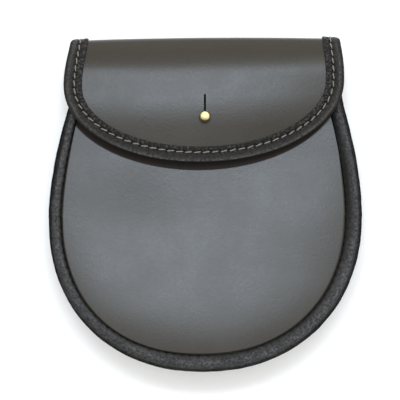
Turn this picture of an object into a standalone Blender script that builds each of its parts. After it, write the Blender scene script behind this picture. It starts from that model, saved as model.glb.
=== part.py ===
"""Plain black leather day sporran, closed, lying on its back.

Metres, +Z up. The front faces +Z, the wearer's up is +Y and +X is to the right of someone
who looks at the front. The origin is under the middle of the pouch, on the surface it lies on.

How the real pouch is made, and so how this model is made:
- one long leather piece is the back, bends over the top and comes down in front as the flap;
- a stiff leather front panel is sewn to a soft leather gusset, which rolls out round both
  seams and joins the front to the back;
- a folded strip of soft leather binds the flap's edge;
- a brass stud, screwed to the front panel, goes through a keyhole in the flap;
- a leather keeper on the back takes the belt.
"""
import math

import bmesh
import bpy
from mathutils import Matrix, Vector

# ---------------------------------------------------------------- driving dimensions
LEATHER = 0.0024            # stiff leather of the front, the back and the flap
SOFT_LEATHER = 0.0014       # gusset
BINDING_LEATHER = 0.0010    # strip round the flap
GAP = 0.0003                # room that neighbouring pieces keep

# outline of the pouch seen from the front: two half superellipses on one widest line
POUCH_HALF_WIDTH = 0.0950
POUCH_WIDEST_Y = -0.0080
POUCH_LOWER_REACH = 0.0930
POUCH_LOWER_POWER = 2.155
POUCH_UPPER_REACH = 0.1621
POUCH_UPPER_POWER = 1.776
POUCH_LEAN = 0.0069         # hand-sewn, so the outline leans a little
WAIST_HALF_WIDTH = 0.0820   # the sides run nearly straight up from here to the mouth
WAIST_SOFTNESS = 0.0030
MOUTH_ANGLE = 135.0         # degrees round from the bottom centre to the mouth's corners

# depth, from the surface that the pouch lies on
BACK_FACE_Z = 0.0066        # the back's outer face, held up by the gusset's back roll
MOUTH_Y = 0.0740            # the front's free upper edge
MOUTH_Z = 0.0185            # its outer face there
MOUTH_SLOPE = 0.085         # the pouch gets deeper below the mouth, first by this much
BOTTOM_SLOPE = 0.175        # and by this much at the very bottom
FRONT_CROWN = 0.0026        # the front's middle stands this far above its seam, lower down
CROWN_POWER = 5.4           # higher is flatter in the middle and steeper by the seam
FULL_ROLL = 0.0060          # a back roll this wide comes down to the surface

# gusset, by the angle round from the bottom centre (left is negative): widths of both rolls,
# how far the front roll stands above the seam, and how far the side is pinched in
GUSSET_COLUMNS = ("angle", "front_roll", "back_roll", "rise", "pinch")
GUSSET_TABLE = (
    (-MOUTH_ANGLE, 0.0072, 0.0050, 0.0025, 0.0050),
    (-105.0, 0.0075, 0.0085, 0.0035, 0.0030),
    (-60.0, 0.0080, 0.0095, 0.0040, 0.0022),
    (0.0, 0.0103, 0.0095, 0.0040, 0.0020),
    (60.0, 0.0103, 0.0095, 0.0040, 0.0022),
    (105.0, 0.0100, 0.0085, 0.0035, 0.0030),
    (MOUTH_ANGLE, 0.0092, 0.0050, 0.0025, 0.0050),
)

# course of the back and flap leather, seen from the side: straight up the back, then arcs
BEND_START_Y = 0.0935
SHEET_ARCS = (              # name, radius, turn in degrees
    ("tight bend", 0.00705, 140.0),
    ("open bend", 0.0180, 27.0),
    ("upper flap", 0.2150, 11.5),
    ("lower flap", 0.8000, 8.0),
)
SIDE_DROOP = 0.0036         # the flap's sides hang this much lower than its middle
FLAP_TWIST = 0.028          # and its right side lower than its left, by this much across
DROOP_LENGTH = 0.0800       # both grow over this length from the top of the bend
DROOP_EASE = 0.10
BEND_TILT = 0.0085          # the bend isn't quite level: it rises to the right
BEND_BOW = 0.00125          # and its ends lie lower than its middle

# outline of the bound flap on the flat leather
FLAP_HALF_WIDTH = 0.0853
FLAP_WIDEST_Y = 0.0743
FLAP_LOWER_REACH = 0.0495
FLAP_UPPER_REACH = 0.0963
FLAP_UPPER_POWER = 1.885
FLAP_CENTRE_X = -0.0008
FLAP_LEAN = 0.0150
BEND_HALF_WIDTH = 0.0814    # of the bound leather at the top bend and behind it
SHOULDER_Y = 0.0790         # the back reaches that width here, above the gusset's ends
SHOULDER_SOFTNESS = 0.0020

BINDING_START_Y = 0.0805    # where the binding starts and ends on the back
BINDING_WIDTH_SIDE = 0.0115
BINDING_WIDTH_BOTTOM = 0.0094
BINDING_WIDTH_INSIDE = 0.0090
FOLD_DEPTH = 0.00115        # the strip's thickness at its fold

# stud and keyhole
STUD_X = -0.0002
STUD_Y = 0.0526
BALL_DIAMETER = 0.0069
NECK_DIAMETER = 0.0034
FLANGE_DIAMETER = 0.0084
FLANGE_HEIGHT = 0.0012
COLLAR_DIAMETER = 0.0050    # a step between the flange and the neck, under the flap
COLLAR_HEIGHT = 0.0022
NECK_LENGTH = 0.0069
KEYHOLE_DIAMETER = 0.0054
SLIT_WIDTH = 0.0012
SLIT_LENGTH = 0.0134
PANEL_HOLE_DIAMETER = 0.0042
CUT_DEPTH = 0.0100           # long enough to pass right through a leather
SCREW_HEAD_DIAMETER = 0.0090
SCREW_HEAD_HEIGHT = 0.0011
RIM_SHARE = 0.6             # flange and head: this share of the height is upright rim
TOP_SHARE = 0.8             # and their flat top has this share of the width

# belt keeper on the back: a flat band with both long edges sewn to the back
KEEPER_WIDTH = 0.0700
KEEPER_THICKNESS = 0.0020
KEEPER_BOTTOM_Y = 0.0200
KEEPER_TOP_Y = 0.0740
KEEPER_TAB = 0.0090
KEEPER_RAMP = 0.0060
KEEPER_CORNER = 0.0060

# how finely the curved pieces are cut
POUCH_STATIONS = 46
PANEL_COLUMNS = 13
SHEET_COLUMNS = 9
ROLL_POINTS = 6
WALL_POINTS = 4
BEND_STATIONS = 14
FLAP_STATIONS = 30
NOSE_POINTS = 4
BALL_POINTS = 12
TURNED_SIDES = 24
SHOULDER_ROWS = 4
RAMP_ROWS = 7
CORNER_TURNS = (0.0, 30.0, 60.0, 90.0)
SMOOTH_ANGLE = 40.0         # degrees: faces that meet at less are shaded as one
MERGE_DISTANCE = 1e-6
HALVINGS = 40               # how often length_at halves its search
OUTLINE_STEP = 0.5          # degrees either side, for the direction of the pouch's outline
FLAP_STEP = 0.01            # and in u, for the direction of the flap's outline


# ---------------------------------------------------------------- small helpers
def mix(a, b, t):
    return a + (b - a) * t


def smooth(t):
    t = min(max(t, 0.0), 1.0)
    return t * t * (3.0 - 2.0 * t)


def soft_max(a, b, softness):
    """The larger of two lengths, with a rounded change-over."""
    return 0.5 * (a + b + math.sqrt((a - b) ** 2 + softness ** 2))


def spaced(start, stop, count):
    return [mix(start, stop, i / (count - 1)) for i in range(count)]


def gusset_size(angle, column):
    """Read a column of the gusset's table at an angle, easing from one row to the next."""
    value = GUSSET_COLUMNS.index(column)
    for low, high in zip(GUSSET_TABLE, GUSSET_TABLE[1:]):
        if angle <= high[0]:
            return mix(low[value], high[value], smooth((angle - low[0]) / (high[0] - low[0])))
    return GUSSET_TABLE[-1][value]


def principled(name, colour, roughness, metallic):
    material = bpy.data.materials.new(name)
    material.use_nodes = True
    shader = material.node_tree.nodes["Principled BSDF"]
    shader.inputs["Base Color"].default_value = (*colour, 1.0)
    shader.inputs["Roughness"].default_value = roughness
    shader.inputs["Metallic"].default_value = metallic
    material.diffuse_color = (*colour, 1.0)
    return material


def new_object(name, mesh_bm, material):
    """Turn a bmesh into an object of its own, with outward faces and smooth round parts."""
    bmesh.ops.remove_doubles(mesh_bm, verts=mesh_bm.verts, dist=MERGE_DISTANCE)
    bmesh.ops.recalc_face_normals(mesh_bm, faces=mesh_bm.faces)
    mesh = bpy.data.meshes.new(name)
    mesh_bm.to_mesh(mesh)
    mesh_bm.free()
    mesh.shade_smooth()
    mesh.set_sharp_from_angle(angle=math.radians(SMOOTH_ANGLE))
    mesh.materials.append(material)
    thing = bpy.data.objects.new(name, mesh)
    bpy.context.scene.collection.objects.link(thing)
    return thing


def plate(name, outer, inner, material):
    """A closed sheet between two grids of points, rows by columns."""
    bm = bmesh.new()
    grids = [[[bm.verts.new(p) for p in row] for row in grid] for grid in (outer, inner)]
    last_row, last_column = len(outer) - 1, len(outer[0]) - 1
    for grid in grids:
        for i in range(last_row):
            for j in range(last_column):
                bm.faces.new((grid[i][j], grid[i][j + 1], grid[i + 1][j + 1], grid[i + 1][j]))
    rim = [(0, j) for j in range(last_column)]
    rim += [(i, last_column) for i in range(last_row)]
    rim += [(last_row, j) for j in range(last_column, 0, -1)]
    rim += [(i, 0) for i in range(last_row, 0, -1)]
    for (i, j), (k, m) in zip(rim, rim[1:] + rim[:1]):
        bm.faces.new((grids[0][i][j], grids[0][k][m], grids[1][k][m], grids[1][i][j]))
    return new_object(name, bm, material)


def sweep(name, rings, material):
    """A closed tube through rings of points that all have the same count, capped at both ends."""
    bm = bmesh.new()
    loops = [[bm.verts.new(p) for p in ring] for ring in rings]
    count = len(loops[0])
    for low, high in zip(loops, loops[1:]):
        for j in range(count):
            k = (j + 1) % count
            bm.faces.new((low[j], low[k], high[k], high[j]))
    for loop in (loops[0], loops[-1]):
        bm.faces.new(loop)
    return new_object(name, bm, material)


def turned(name, profile, material):
    """A turned piece from (radius, height) pairs that start and end on the axis."""
    bm = bmesh.new()
    verts = [bm.verts.new((radius, 0.0, height)) for radius, height in profile]
    edges = [bm.edges.new(pair) for pair in zip(verts, verts[1:])]
    bmesh.ops.spin(bm, geom=verts + edges, cent=(0, 0, 0), axis=(0, 0, 1), dvec=(0, 0, 0),
                   angle=math.tau, steps=TURNED_SIDES, use_merge=True, use_duplicate=False)
    return new_object(name, bm, material)


def cut(thing, cutter):
    """Take a cutter away from a piece, and keep the cutter only as a guide."""
    cutter.hide_render = True
    cutter.display_type = "WIRE"
    modifier = thing.modifiers.new("cut", "BOOLEAN")
    modifier.operation = "DIFFERENCE"
    modifier.solver = "EXACT"
    modifier.object = cutter


# ---------------------------------------------------------------- outline of the pouch
def pouch_outline(angle):
    """Outermost point of the pouch, at an angle in degrees round from the bottom centre."""
    across, down = math.sin(math.radians(angle)), math.cos(math.radians(angle))
    reach = POUCH_LOWER_REACH if down > 0 else POUCH_UPPER_REACH
    power = POUCH_LOWER_POWER if down > 0 else POUCH_UPPER_POWER
    norm = abs(across / POUCH_HALF_WIDTH) ** power + abs(down / reach) ** power
    radius = norm ** (-1.0 / power)
    if down < 0:
        radius = soft_max(radius, WAIST_HALF_WIDTH / abs(across), WAIST_SOFTNESS)
    x, y = radius * across, -radius * down
    return Vector((x + POUCH_LEAN * y, y + POUCH_LEAN * x + POUCH_WIDEST_Y))


def inward(angle):
    """Unit vector from the outline into the pouch, square to the outline."""
    along = pouch_outline(angle + OUTLINE_STEP) - pouch_outline(angle - OUTLINE_STEP)
    return Vector((-along.y, along.x)).normalized()


def inset_outline(angle, inset):
    return pouch_outline(angle) + inward(angle) * inset


def down_the_front(y):
    """0 at the mouth, 1 at the very bottom."""
    return (MOUTH_Y - y) / (MOUTH_Y - POUCH_WIDEST_Y + POUCH_LOWER_REACH)


def front_slope(y):
    return mix(MOUTH_SLOPE, BOTTOM_SLOPE, down_the_front(y))


def front_edge_z(y):
    """Height of the front's outer face at its seam: the slope grows evenly from the mouth."""
    return MOUTH_Z + 0.5 * (MOUTH_SLOPE + front_slope(y)) * (MOUTH_Y - y)


def crown_height(y):
    """How far the front's middle stands above its seam: not at all at the stiff free mouth."""
    return FRONT_CROWN * down_the_front(y) ** 2


# ---------------------------------------------------------------- front panel
def front_panel_point(left, right, fraction, depth):
    """A point of the front, at a fraction across the row from left (-1) to right (+1)."""
    x = mix(left.x, right.x, 0.5 + 0.5 * fraction)
    y = mix(left.y, right.y, 0.5 + 0.5 * fraction)
    low = min(0.0, (y - POUCH_WIDEST_Y) / (POUCH_LOWER_REACH - gusset_size(0.0, "front_roll")))
    low = max(low, -1.0)
    spread = math.sqrt(fraction ** 2 * (1.0 - low ** 2) + low ** 2)
    crown = crown_height(y) * (1.0 - spread ** CROWN_POWER)
    return Vector((x, y, front_edge_z(y) + crown - depth))


def make_front_panel(material):
    fractions = [math.sin(math.radians(a)) for a in spaced(-90.0, 90.0, PANEL_COLUMNS)]
    outer, inner = [], []
    for angle in spaced(0.0, MOUTH_ANGLE, POUCH_STATIONS // 2 + 1):
        left = inset_outline(-angle, gusset_size(-angle, "front_roll"))
        right = inset_outline(angle, gusset_size(angle, "front_roll"))
        outer.append([front_panel_point(left, right, f, 0.0) for f in fractions])
        inner.append([front_panel_point(left, right, f, LEATHER) for f in fractions])
    return plate("front_panel", outer, inner, material)


# ---------------------------------------------------------------- gusset
def gusset_section(angle):
    """The gusset's outer line: (distance in from the outline, height), front lip to back lip."""
    front = gusset_size(angle, "front_roll") - GAP
    back = gusset_size(angle, "back_roll") - GAP
    rise, pinch = gusset_size(angle, "rise"), gusset_size(angle, "pinch")
    seam = front_edge_z(inset_outline(angle, front).y)
    back_rise = BACK_FACE_Z * smooth(back / FULL_ROLL)
    line = [(front, seam - LEATHER)]
    for turn in spaced(0.0, 180.0, ROLL_POINTS + 1):
        c, s = math.cos(math.radians(turn)), math.sin(math.radians(turn))
        line.append((0.5 * front * (1.0 + c), seam + rise * s))
    for t in spaced(0.0, 1.0, WALL_POINTS + 2)[1:-1]:
        line.append((pinch * math.sin(math.pi * t) ** 2, mix(seam, BACK_FACE_Z, t)))
    for turn in spaced(180.0, 360.0, ROLL_POINTS + 1):
        c, s = math.cos(math.radians(turn)), math.sin(math.radians(turn))
        line.append((0.5 * back * (1.0 + c), BACK_FACE_Z + back_rise * s))
    line.append((back, BACK_FACE_Z + LEATHER))
    return line


def offset_line(line, distance):
    """The same line moved sideways, to the right of its course."""
    moved = []
    for i, point in enumerate(line):
        before = Vector(line[max(i - 1, 0)])
        after = Vector(line[min(i + 1, len(line) - 1)])
        along = (after - before).normalized()
        moved.append(Vector(point) + Vector((along.y, -along.x)) * distance)
    return moved


def make_gusset(material):
    rings = []
    for angle in spaced(-MOUTH_ANGLE, MOUTH_ANGLE, POUCH_STATIONS + 1):
        line = gusset_section(angle)
        ring = [Vector(p) for p in line] + offset_line(line, -SOFT_LEATHER)[::-1]
        edge, into = pouch_outline(angle), inward(angle)
        rings.append([Vector((*(edge + into * p.x), p.y)) for p in ring])
    return sweep("gusset", rings, material)


# ---------------------------------------------------------------- back and flap, one leather
def sheet_place(s):
    """Side view of the sheet's middle layer at length s: y, z and heading in radians.

    Up to the bend, s is y itself; past it, s goes on along the leather."""
    y, z, heading = BEND_START_Y, BACK_FACE_Z + 0.5 * LEATHER, 0.0
    left = s - BEND_START_Y
    if left <= 0.0:
        return s, z, heading
    for name, radius, turn in SHEET_ARCS:
        step = min(left / radius, math.radians(turn))
        y += radius * (math.sin(heading + step) - math.sin(heading))
        z += radius * (math.cos(heading) - math.cos(heading + step))
        heading += step
        left -= step * radius
    return y, z, heading


def length_at(y):
    """Length s of the place on the flap whose height in the front view is y."""
    low, high = TOP_S, TOP_S + FLAP_UPPER_REACH
    for _ in range(HALVINGS):
        middle = 0.5 * (low + high)
        if sheet_place(middle)[0] > y:
            low = middle
        else:
            high = middle
    return low


TOP_S = BEND_START_Y + SHEET_ARCS[0][1] * math.pi / 2      # the crest of the bend
WIDEST_S = length_at(FLAP_WIDEST_Y)


def on_flap(s):
    """0 up to the crest of the bend, 1 from the flap's widest line on."""
    return smooth((s - TOP_S) / (WIDEST_S - TOP_S))


def sheet_point(x, s, offset):
    """A point on the leather at x and length s, moved out from its middle layer."""
    y, z, heading = sheet_place(s)
    bent = smooth((s - SHOULDER_Y) / (BEND_START_Y - SHOULDER_Y)) * (1.0 - on_flap(s))
    shift = bent * (BEND_TILT * x - BEND_BOW * (x / BEND_HALF_WIDTH) ** 2)
    hanging = soft_max((s - TOP_S) / DROOP_LENGTH, 0.0, DROOP_EASE)
    droop = hanging * (SIDE_DROOP * (x / FLAP_HALF_WIDTH) ** 2 + FLAP_TWIST * x)
    return Vector((x, y + shift + offset * math.sin(heading),
                   z - offset * math.cos(heading) - droop))


def flap_side(s):
    """Half the bound leather's width at length s, from behind the bend to the widest line."""
    rise = min(abs(WIDEST_S - s) / FLAP_UPPER_REACH, 1.0)
    half = FLAP_HALF_WIDTH * (1.0 - rise ** FLAP_UPPER_POWER) ** (1.0 / FLAP_UPPER_POWER)
    return soft_max(half, BEND_HALF_WIDTH, SHOULDER_SOFTNESS)


def lean(x, s):
    """The flap is cut a little askew; the bend and the back are straight."""
    shift = FLAP_CENTRE_X - FLAP_LEAN * (s - WIDEST_S)
    return Vector((x + on_flap(s) * shift, s - on_flap(s) * FLAP_LEAN * x))


def flap_outline(u):
    """Edge of the bound leather, on the flat: u runs from 0 at the left behind the bend
    through 1 at the left widest point, 2 at the bottom and 3 at the right to 4."""
    if u < 1.0 or u > 3.0:
        side = -1.0 if u < 1.0 else 1.0
        along = u if u < 1.0 else 4.0 - u
        s = mix(BINDING_START_Y, WIDEST_S, along)
        return lean(side * flap_side(s), s)
    turn = (u - 1.0) * math.pi / 2
    return lean(-FLAP_HALF_WIDTH * math.cos(turn), WIDEST_S + FLAP_LOWER_REACH * math.sin(turn))


def flap_inward(u):
    along = flap_outline(min(u + FLAP_STEP, 4.0)) - flap_outline(max(u - FLAP_STEP, 0.0))
    return Vector((along.y, -along.x)).normalized()


def flap_inset(u, inset):
    return flap_outline(u) + flap_inward(u) * inset


def binding_stations():
    """Stations round the flap's edge, closest together where the leather bends."""
    bend_end = BEND_START_Y + SHEET_ARCS[0][1] * math.radians(SHEET_ARCS[0][2])
    lengths = [BINDING_START_Y] + spaced(BEND_START_Y, bend_end, BEND_STATIONS)
    lengths += spaced(bend_end, WIDEST_S, BEND_STATIONS // 2)[1:]
    side = [(s - BINDING_START_Y) / (WIDEST_S - BINDING_START_Y) for s in lengths]
    front = spaced(1.0, 3.0, FLAP_STATIONS + 1)
    return side + front[1:] + [4.0 - u for u in side[::-1][1:]]


def sheet_edges():
    """Left and right edge points of the leather on the flat, row by row."""
    rows = []
    for angle in spaced(0.0, MOUTH_ANGLE, POUCH_STATIONS // 2 + 1):
        turns = (-angle, angle)
        rows.append([inset_outline(turn, gusset_size(turn, "back_roll")) for turn in turns])
    edge = FOLD_DEPTH + GAP
    half = BEND_HALF_WIDTH - edge
    left, right = rows[-1]
    for y in spaced(left.y, SHOULDER_Y, SHOULDER_ROWS)[1:]:
        t = smooth((y - left.y) / (SHOULDER_Y - left.y))
        rows.append([Vector((mix(left.x, -half, t), y)), Vector((mix(right.x, half, t), y))])
    for u in binding_stations():
        if u <= 2.0:
            rows.append([flap_inset(u, edge), flap_inset(4.0 - u, edge)])
    return rows


def make_back_and_flap(material):
    fractions = spaced(0.0, 1.0, SHEET_COLUMNS)
    outer, inner = [], []
    for left, right in sheet_edges():
        row = [left.lerp(right, f) for f in fractions]
        outer.append([sheet_point(p.x, p.y, 0.5 * LEATHER) for p in row])
        inner.append([sheet_point(p.x, p.y, -0.5 * LEATHER) for p in row])
    sheet = plate("back_and_flap", outer, inner, material)
    cut(sheet, make_keyhole_cutter())
    return sheet


def make_keyhole_cutter():
    """A round hole for the stud's neck, with the slit that lets the ball through above it."""
    radius, half_slit = KEYHOLE_DIAMETER / 2, SLIT_WIDTH / 2
    start = math.degrees(math.acos(half_slit / radius))
    arc = [(radius * math.cos(math.radians(a)), radius * math.sin(math.radians(a)))
           for a in spaced(start, -180.0 - start, TURNED_SIDES)]
    outline = arc + [(-half_slit, SLIT_LENGTH), (half_slit, SLIT_LENGTH)]
    bm = bmesh.new()
    face = bm.faces.new([bm.verts.new((x, y, -CUT_DEPTH / 2)) for x, y in outline])
    raised = bmesh.ops.extrude_face_region(bm, geom=[face])["geom"]
    top = [item for item in raised if isinstance(item, bmesh.types.BMVert)]
    bmesh.ops.translate(bm, verts=top, vec=(0.0, 0.0, CUT_DEPTH))
    cutter = new_object("keyhole_cutter", bm, bpy.data.materials["brass"])
    flap_z = sheet_place(length_at(STUD_Y))[1]
    stud_lean = front_slope(STUD_Y) * (flap_z - front_face_z())
    cutter.location = (STUD_X, STUD_Y + stud_lean, flap_z)
    return cutter


# ---------------------------------------------------------------- binding of the flap
def binding_section(width):
    """Folded strip seen end on: (distance in from the edge, height off the middle layer)."""
    cavity = 0.5 * LEATHER + GAP
    rise = cavity + BINDING_LEATHER
    line = [(width, rise)]
    for turn in spaced(90.0, -90.0, 2 * NOSE_POINTS + 1):
        c, s = math.cos(math.radians(turn)), math.sin(math.radians(turn))
        line.append((rise * (1.0 - c), rise * s))
    line.append((BINDING_WIDTH_INSIDE, -rise))
    line += [(BINDING_WIDTH_INSIDE, -cavity), (FOLD_DEPTH, -cavity)]
    line += [(FOLD_DEPTH, cavity), (width, cavity)]
    return line


def make_binding(material):
    rings = []
    for u in binding_stations():
        low = math.sin(min(max(u - 1.0, 0.0), 2.0) * math.pi / 2)
        width = mix(BINDING_WIDTH_SIDE, BINDING_WIDTH_BOTTOM, low)
        flat = [(flap_inset(u, inset), rise) for inset, rise in binding_section(width)]
        rings.append([sheet_point(p.x, p.y, rise) for p, rise in flat])
    return sweep("flap_binding", rings, material)


# ---------------------------------------------------------------- stud and its screw
def front_face_z():
    """Height of the front's outer face under the stud."""
    return front_edge_z(STUD_Y) + crown_height(STUD_Y)


def on_front(thing, out):
    """Stand a turned piece on the front, square to its slope, 'out' from its outer face."""
    tilt = Matrix.Rotation(-math.atan(front_slope(STUD_Y)), 4, "X")
    foot = Vector((STUD_X, STUD_Y, front_face_z()))
    thing.matrix_world = Matrix.Translation(foot + tilt @ Vector((0.0, 0.0, out))) @ tilt


def make_stud(material):
    neck, ball = NECK_DIAMETER / 2, BALL_DIAMETER / 2
    flange, collar = FLANGE_DIAMETER / 2, COLLAR_DIAMETER / 2
    shoulder = FLANGE_HEIGHT + COLLAR_HEIGHT
    ball_middle = shoulder + NECK_LENGTH + ball
    start = math.degrees(math.asin(neck / ball))
    profile = [(0.0, -LEATHER / 2), (neck, -LEATHER / 2), (neck, 0.0), (flange, 0.0)]
    profile += [(flange, RIM_SHARE * FLANGE_HEIGHT), (TOP_SHARE * flange, FLANGE_HEIGHT)]
    profile += [(collar, FLANGE_HEIGHT), (collar, shoulder), (neck, shoulder)]
    for turn in spaced(start, 180.0, BALL_POINTS):
        radius = ball * math.sin(math.radians(turn))
        profile.append((max(radius, 0.0), ball_middle - ball * math.cos(math.radians(turn))))
    stud = turned("button_stud", profile, material)
    on_front(stud, GAP)
    return stud


def make_screw(material):
    shank, head = NECK_DIAMETER / 2, SCREW_HEAD_DIAMETER / 2
    top = LEATHER / 2 - GAP
    profile = [(0.0, top), (shank, top), (shank, 0.0), (head, 0.0)]
    profile += [(head, -RIM_SHARE * SCREW_HEAD_HEIGHT), (TOP_SHARE * head, -SCREW_HEAD_HEIGHT)]
    profile += [(0.0, -SCREW_HEAD_HEIGHT)]
    screw = turned("stud_screw", profile, material)
    on_front(screw, -LEATHER - GAP)
    return screw


def make_panel_hole():
    bm = bmesh.new()
    bmesh.ops.create_cone(bm, cap_ends=True, segments=TURNED_SIDES, depth=CUT_DEPTH,
                          radius1=PANEL_HOLE_DIAMETER / 2, radius2=PANEL_HOLE_DIAMETER / 2)
    cutter = new_object("panel_hole_cutter", bm, bpy.data.materials["brass"])
    on_front(cutter, -LEATHER / 2)
    return cutter


# ---------------------------------------------------------------- belt keeper
def keeper_lift(y):
    """How far the keeper's outer face stands off the surface: 0 along its flat middle."""
    tab = BACK_FACE_Z - GAP - KEEPER_THICKNESS
    edge = min(y - KEEPER_BOTTOM_Y, KEEPER_TOP_Y - y)
    return tab * (1.0 - smooth((edge - KEEPER_TAB) / KEEPER_RAMP))


def keeper_half_width(y):
    """Rounded corners where the keeper's ends begin and stop."""
    edge = min(y - KEEPER_BOTTOM_Y, KEEPER_TOP_Y - y, KEEPER_CORNER)
    missing = KEEPER_CORNER - math.sqrt(KEEPER_CORNER ** 2 - (KEEPER_CORNER - edge) ** 2)
    return KEEPER_WIDTH / 2 - missing


def make_keeper(material):
    corner = [KEEPER_CORNER * (1.0 - math.cos(math.radians(a))) for a in CORNER_TURNS]
    ramp = spaced(KEEPER_TAB, KEEPER_TAB + KEEPER_RAMP, RAMP_ROWS)
    half = corner + ramp
    stations = [KEEPER_BOTTOM_Y + d for d in half] + [KEEPER_TOP_Y - d for d in half[::-1]]
    outer, inner = [], []
    for y in stations:
        wide, low = keeper_half_width(y), keeper_lift(y)
        outer.append([Vector((x, y, low)) for x in (-wide, wide)])
        inner.append([Vector((x, y, low + KEEPER_THICKNESS)) for x in (-wide, wide)])
    return plate("belt_keeper", outer, inner, material)


# ---------------------------------------------------------------- the whole pouch
def main():
    for thing in list(bpy.data.objects):
        bpy.data.objects.remove(thing, do_unlink=True)
    panel_leather = principled("smooth black leather", (0.045, 0.045, 0.043), 0.42, 0.0)
    flap_leather = principled("smooth flap leather", (0.045, 0.045, 0.043), 0.42, 0.0)
    gusset_leather = principled("soft gusset leather", (0.025, 0.025, 0.025), 0.50, 0.0)
    binding_leather = principled("soft binding leather", (0.022, 0.022, 0.022), 0.50, 0.0)
    keeper_leather = principled("belt leather", (0.030, 0.029, 0.027), 0.48, 0.0)
    brass = principled("brass", (0.80, 0.62, 0.28), 0.22, 1.0)
    screw_brass = principled("screw brass", (0.70, 0.54, 0.26), 0.35, 1.0)

    front = make_front_panel(panel_leather)
    cut(front, make_panel_hole())
    make_gusset(gusset_leather)
    make_back_and_flap(flap_leather)
    make_binding(binding_leather)
    make_stud(brass)
    make_screw(screw_brass)
    make_keeper(keeper_leather)


main()
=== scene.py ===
# %% [markdown]
# # A plain black leather day sporran
# A sporran is the pouch that is worn in front of a kilt. This one is built from a few leathers:
# a stiff front, one long piece that is both the back and the flap, a soft gusset that joins
# front to back, and a soft strip that binds the flap's edge. A brass ball stud holds it shut.
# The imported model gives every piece's place and size. This lesson gives them their looks.

# %% Load the model
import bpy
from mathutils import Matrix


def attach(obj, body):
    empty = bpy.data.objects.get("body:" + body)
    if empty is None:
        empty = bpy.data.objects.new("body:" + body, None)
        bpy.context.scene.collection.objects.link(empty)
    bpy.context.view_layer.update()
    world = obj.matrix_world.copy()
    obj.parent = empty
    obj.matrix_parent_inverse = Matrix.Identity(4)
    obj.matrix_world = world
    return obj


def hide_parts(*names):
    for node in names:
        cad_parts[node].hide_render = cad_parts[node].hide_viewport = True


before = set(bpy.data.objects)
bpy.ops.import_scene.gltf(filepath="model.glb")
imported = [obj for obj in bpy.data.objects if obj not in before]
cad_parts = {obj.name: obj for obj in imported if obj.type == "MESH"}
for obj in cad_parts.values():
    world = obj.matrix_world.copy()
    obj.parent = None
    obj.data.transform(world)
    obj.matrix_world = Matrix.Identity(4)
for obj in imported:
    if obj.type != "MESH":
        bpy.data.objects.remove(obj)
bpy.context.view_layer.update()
print("nodes:", sorted(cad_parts))

# %% Tools that the lesson uses
import math

import bmesh
import bpy
from mathutils import Matrix, Vector, noise

MM = 0.001
BODY = "root"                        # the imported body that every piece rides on


def mix(a, b, t):
    """From a at t = 0 to b at t = 1."""
    return a + (b - a) * t


def smooth(t):
    """Ease from 0 to 1."""
    t = min(max(t, 0.0), 1.0)
    return t * t * (3.0 - 2.0 * t)


def bump_at(distance, width):
    """A soft bump: 1 at no distance, close to 0 past the width."""
    return math.exp(-(distance / width) ** 2)


def spaced(start, stop, count):
    """Evenly spaced values from start to stop, with both ends."""
    return [mix(start, stop, i / (count - 1)) for i in range(count)]


def soft_max(a, b, softness):
    """The larger of two values, with a soft change from one to the other."""
    return 0.5 * (a + b + math.sqrt((a - b) ** 2 + softness ** 2))


def cos_sin(degrees):
    """Cosine and sine of an angle in degrees."""
    turn = math.radians(degrees)
    return math.cos(turn), math.sin(turn)


def arc(radius, start, stop, count):
    """Points of a round stretch about the origin, between two angles in degrees."""
    return [(radius * c, radius * s) for c, s in map(cos_sin, spaced(start, stop, count))]


print("one millimetre is", MM, "of Blender's units")


# %% [markdown]
# ## Colours
# Colours are picked as the hex codes that a screen shows. Blender's shaders work with linear
# light, so one function turns a code into linear values.

# %% One function for colours
def hex_colour(code):
    """Linear values of a hex code, with a fourth one for no transparency."""
    parts = [int(code[i:i + 2], 16) / 255.0 for i in (1, 3, 5)]
    linear = [p / 12.92 if p <= 0.04045 else ((p + 0.055) / 1.055) ** 2.4 for p in parts]
    return (*linear, 1.0)


print("middle grey on screen, in linear light:", round(hex_colour("#808080")[0], 3))

# %% [markdown]
# ## The shape of the pouch
# The front view is two half superellipses on one widest line: a superellipse is an ellipse
# whose power can be more or less than two, which makes it fuller or leaner. It is one formula,
# so every piece can ask for the outline at any angle and moved in by any distance. Drawing the
# outline as a curve by hand would work too, but then each seam would have to be drawn again.

# %% Outline of the pouch
LEATHER = 2.4 * MM
SOFT_LEATHER = 1.4 * MM
GAP = 0.3 * MM
POUCH_HALF_WIDTH = 95.0 * MM
POUCH_WIDEST_Y = -8.0 * MM
POUCH_LOWER_REACH = 93.0 * MM
POUCH_LOWER_POWER = 2.155
POUCH_UPPER_REACH = 162.1 * MM
POUCH_UPPER_POWER = 1.776
POUCH_LEAN = 0.0069                  # sewn by hand, so the outline leans a little
WAIST_HALF_WIDTH = 82.0 * MM         # from here the sides run nearly straight up
WAIST_SOFTNESS = 3.0 * MM
MOUTH_ANGLE = 135.0                  # degrees round from the bottom to the mouth's corners
BACK_FACE_Z = 6.6 * MM               # the back's outer face; the gusset's back roll carries it
MOUTH_Y = 74.0 * MM
MOUTH_Z = 18.5 * MM
MOUTH_SLOPE = 0.085                  # the pouch gets deeper below the mouth, first by this much
BOTTOM_SLOPE = 0.175                 # and by this much at the very bottom
FRONT_CROWN = 2.6 * MM
CROWN_POWER = 5.4
FULL_BACK_ROLL = 6.0 * MM            # a back roll this wide comes down to the surface
OUTLINE_STEP = 0.5                   # degrees to either side, for the outline's direction

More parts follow.
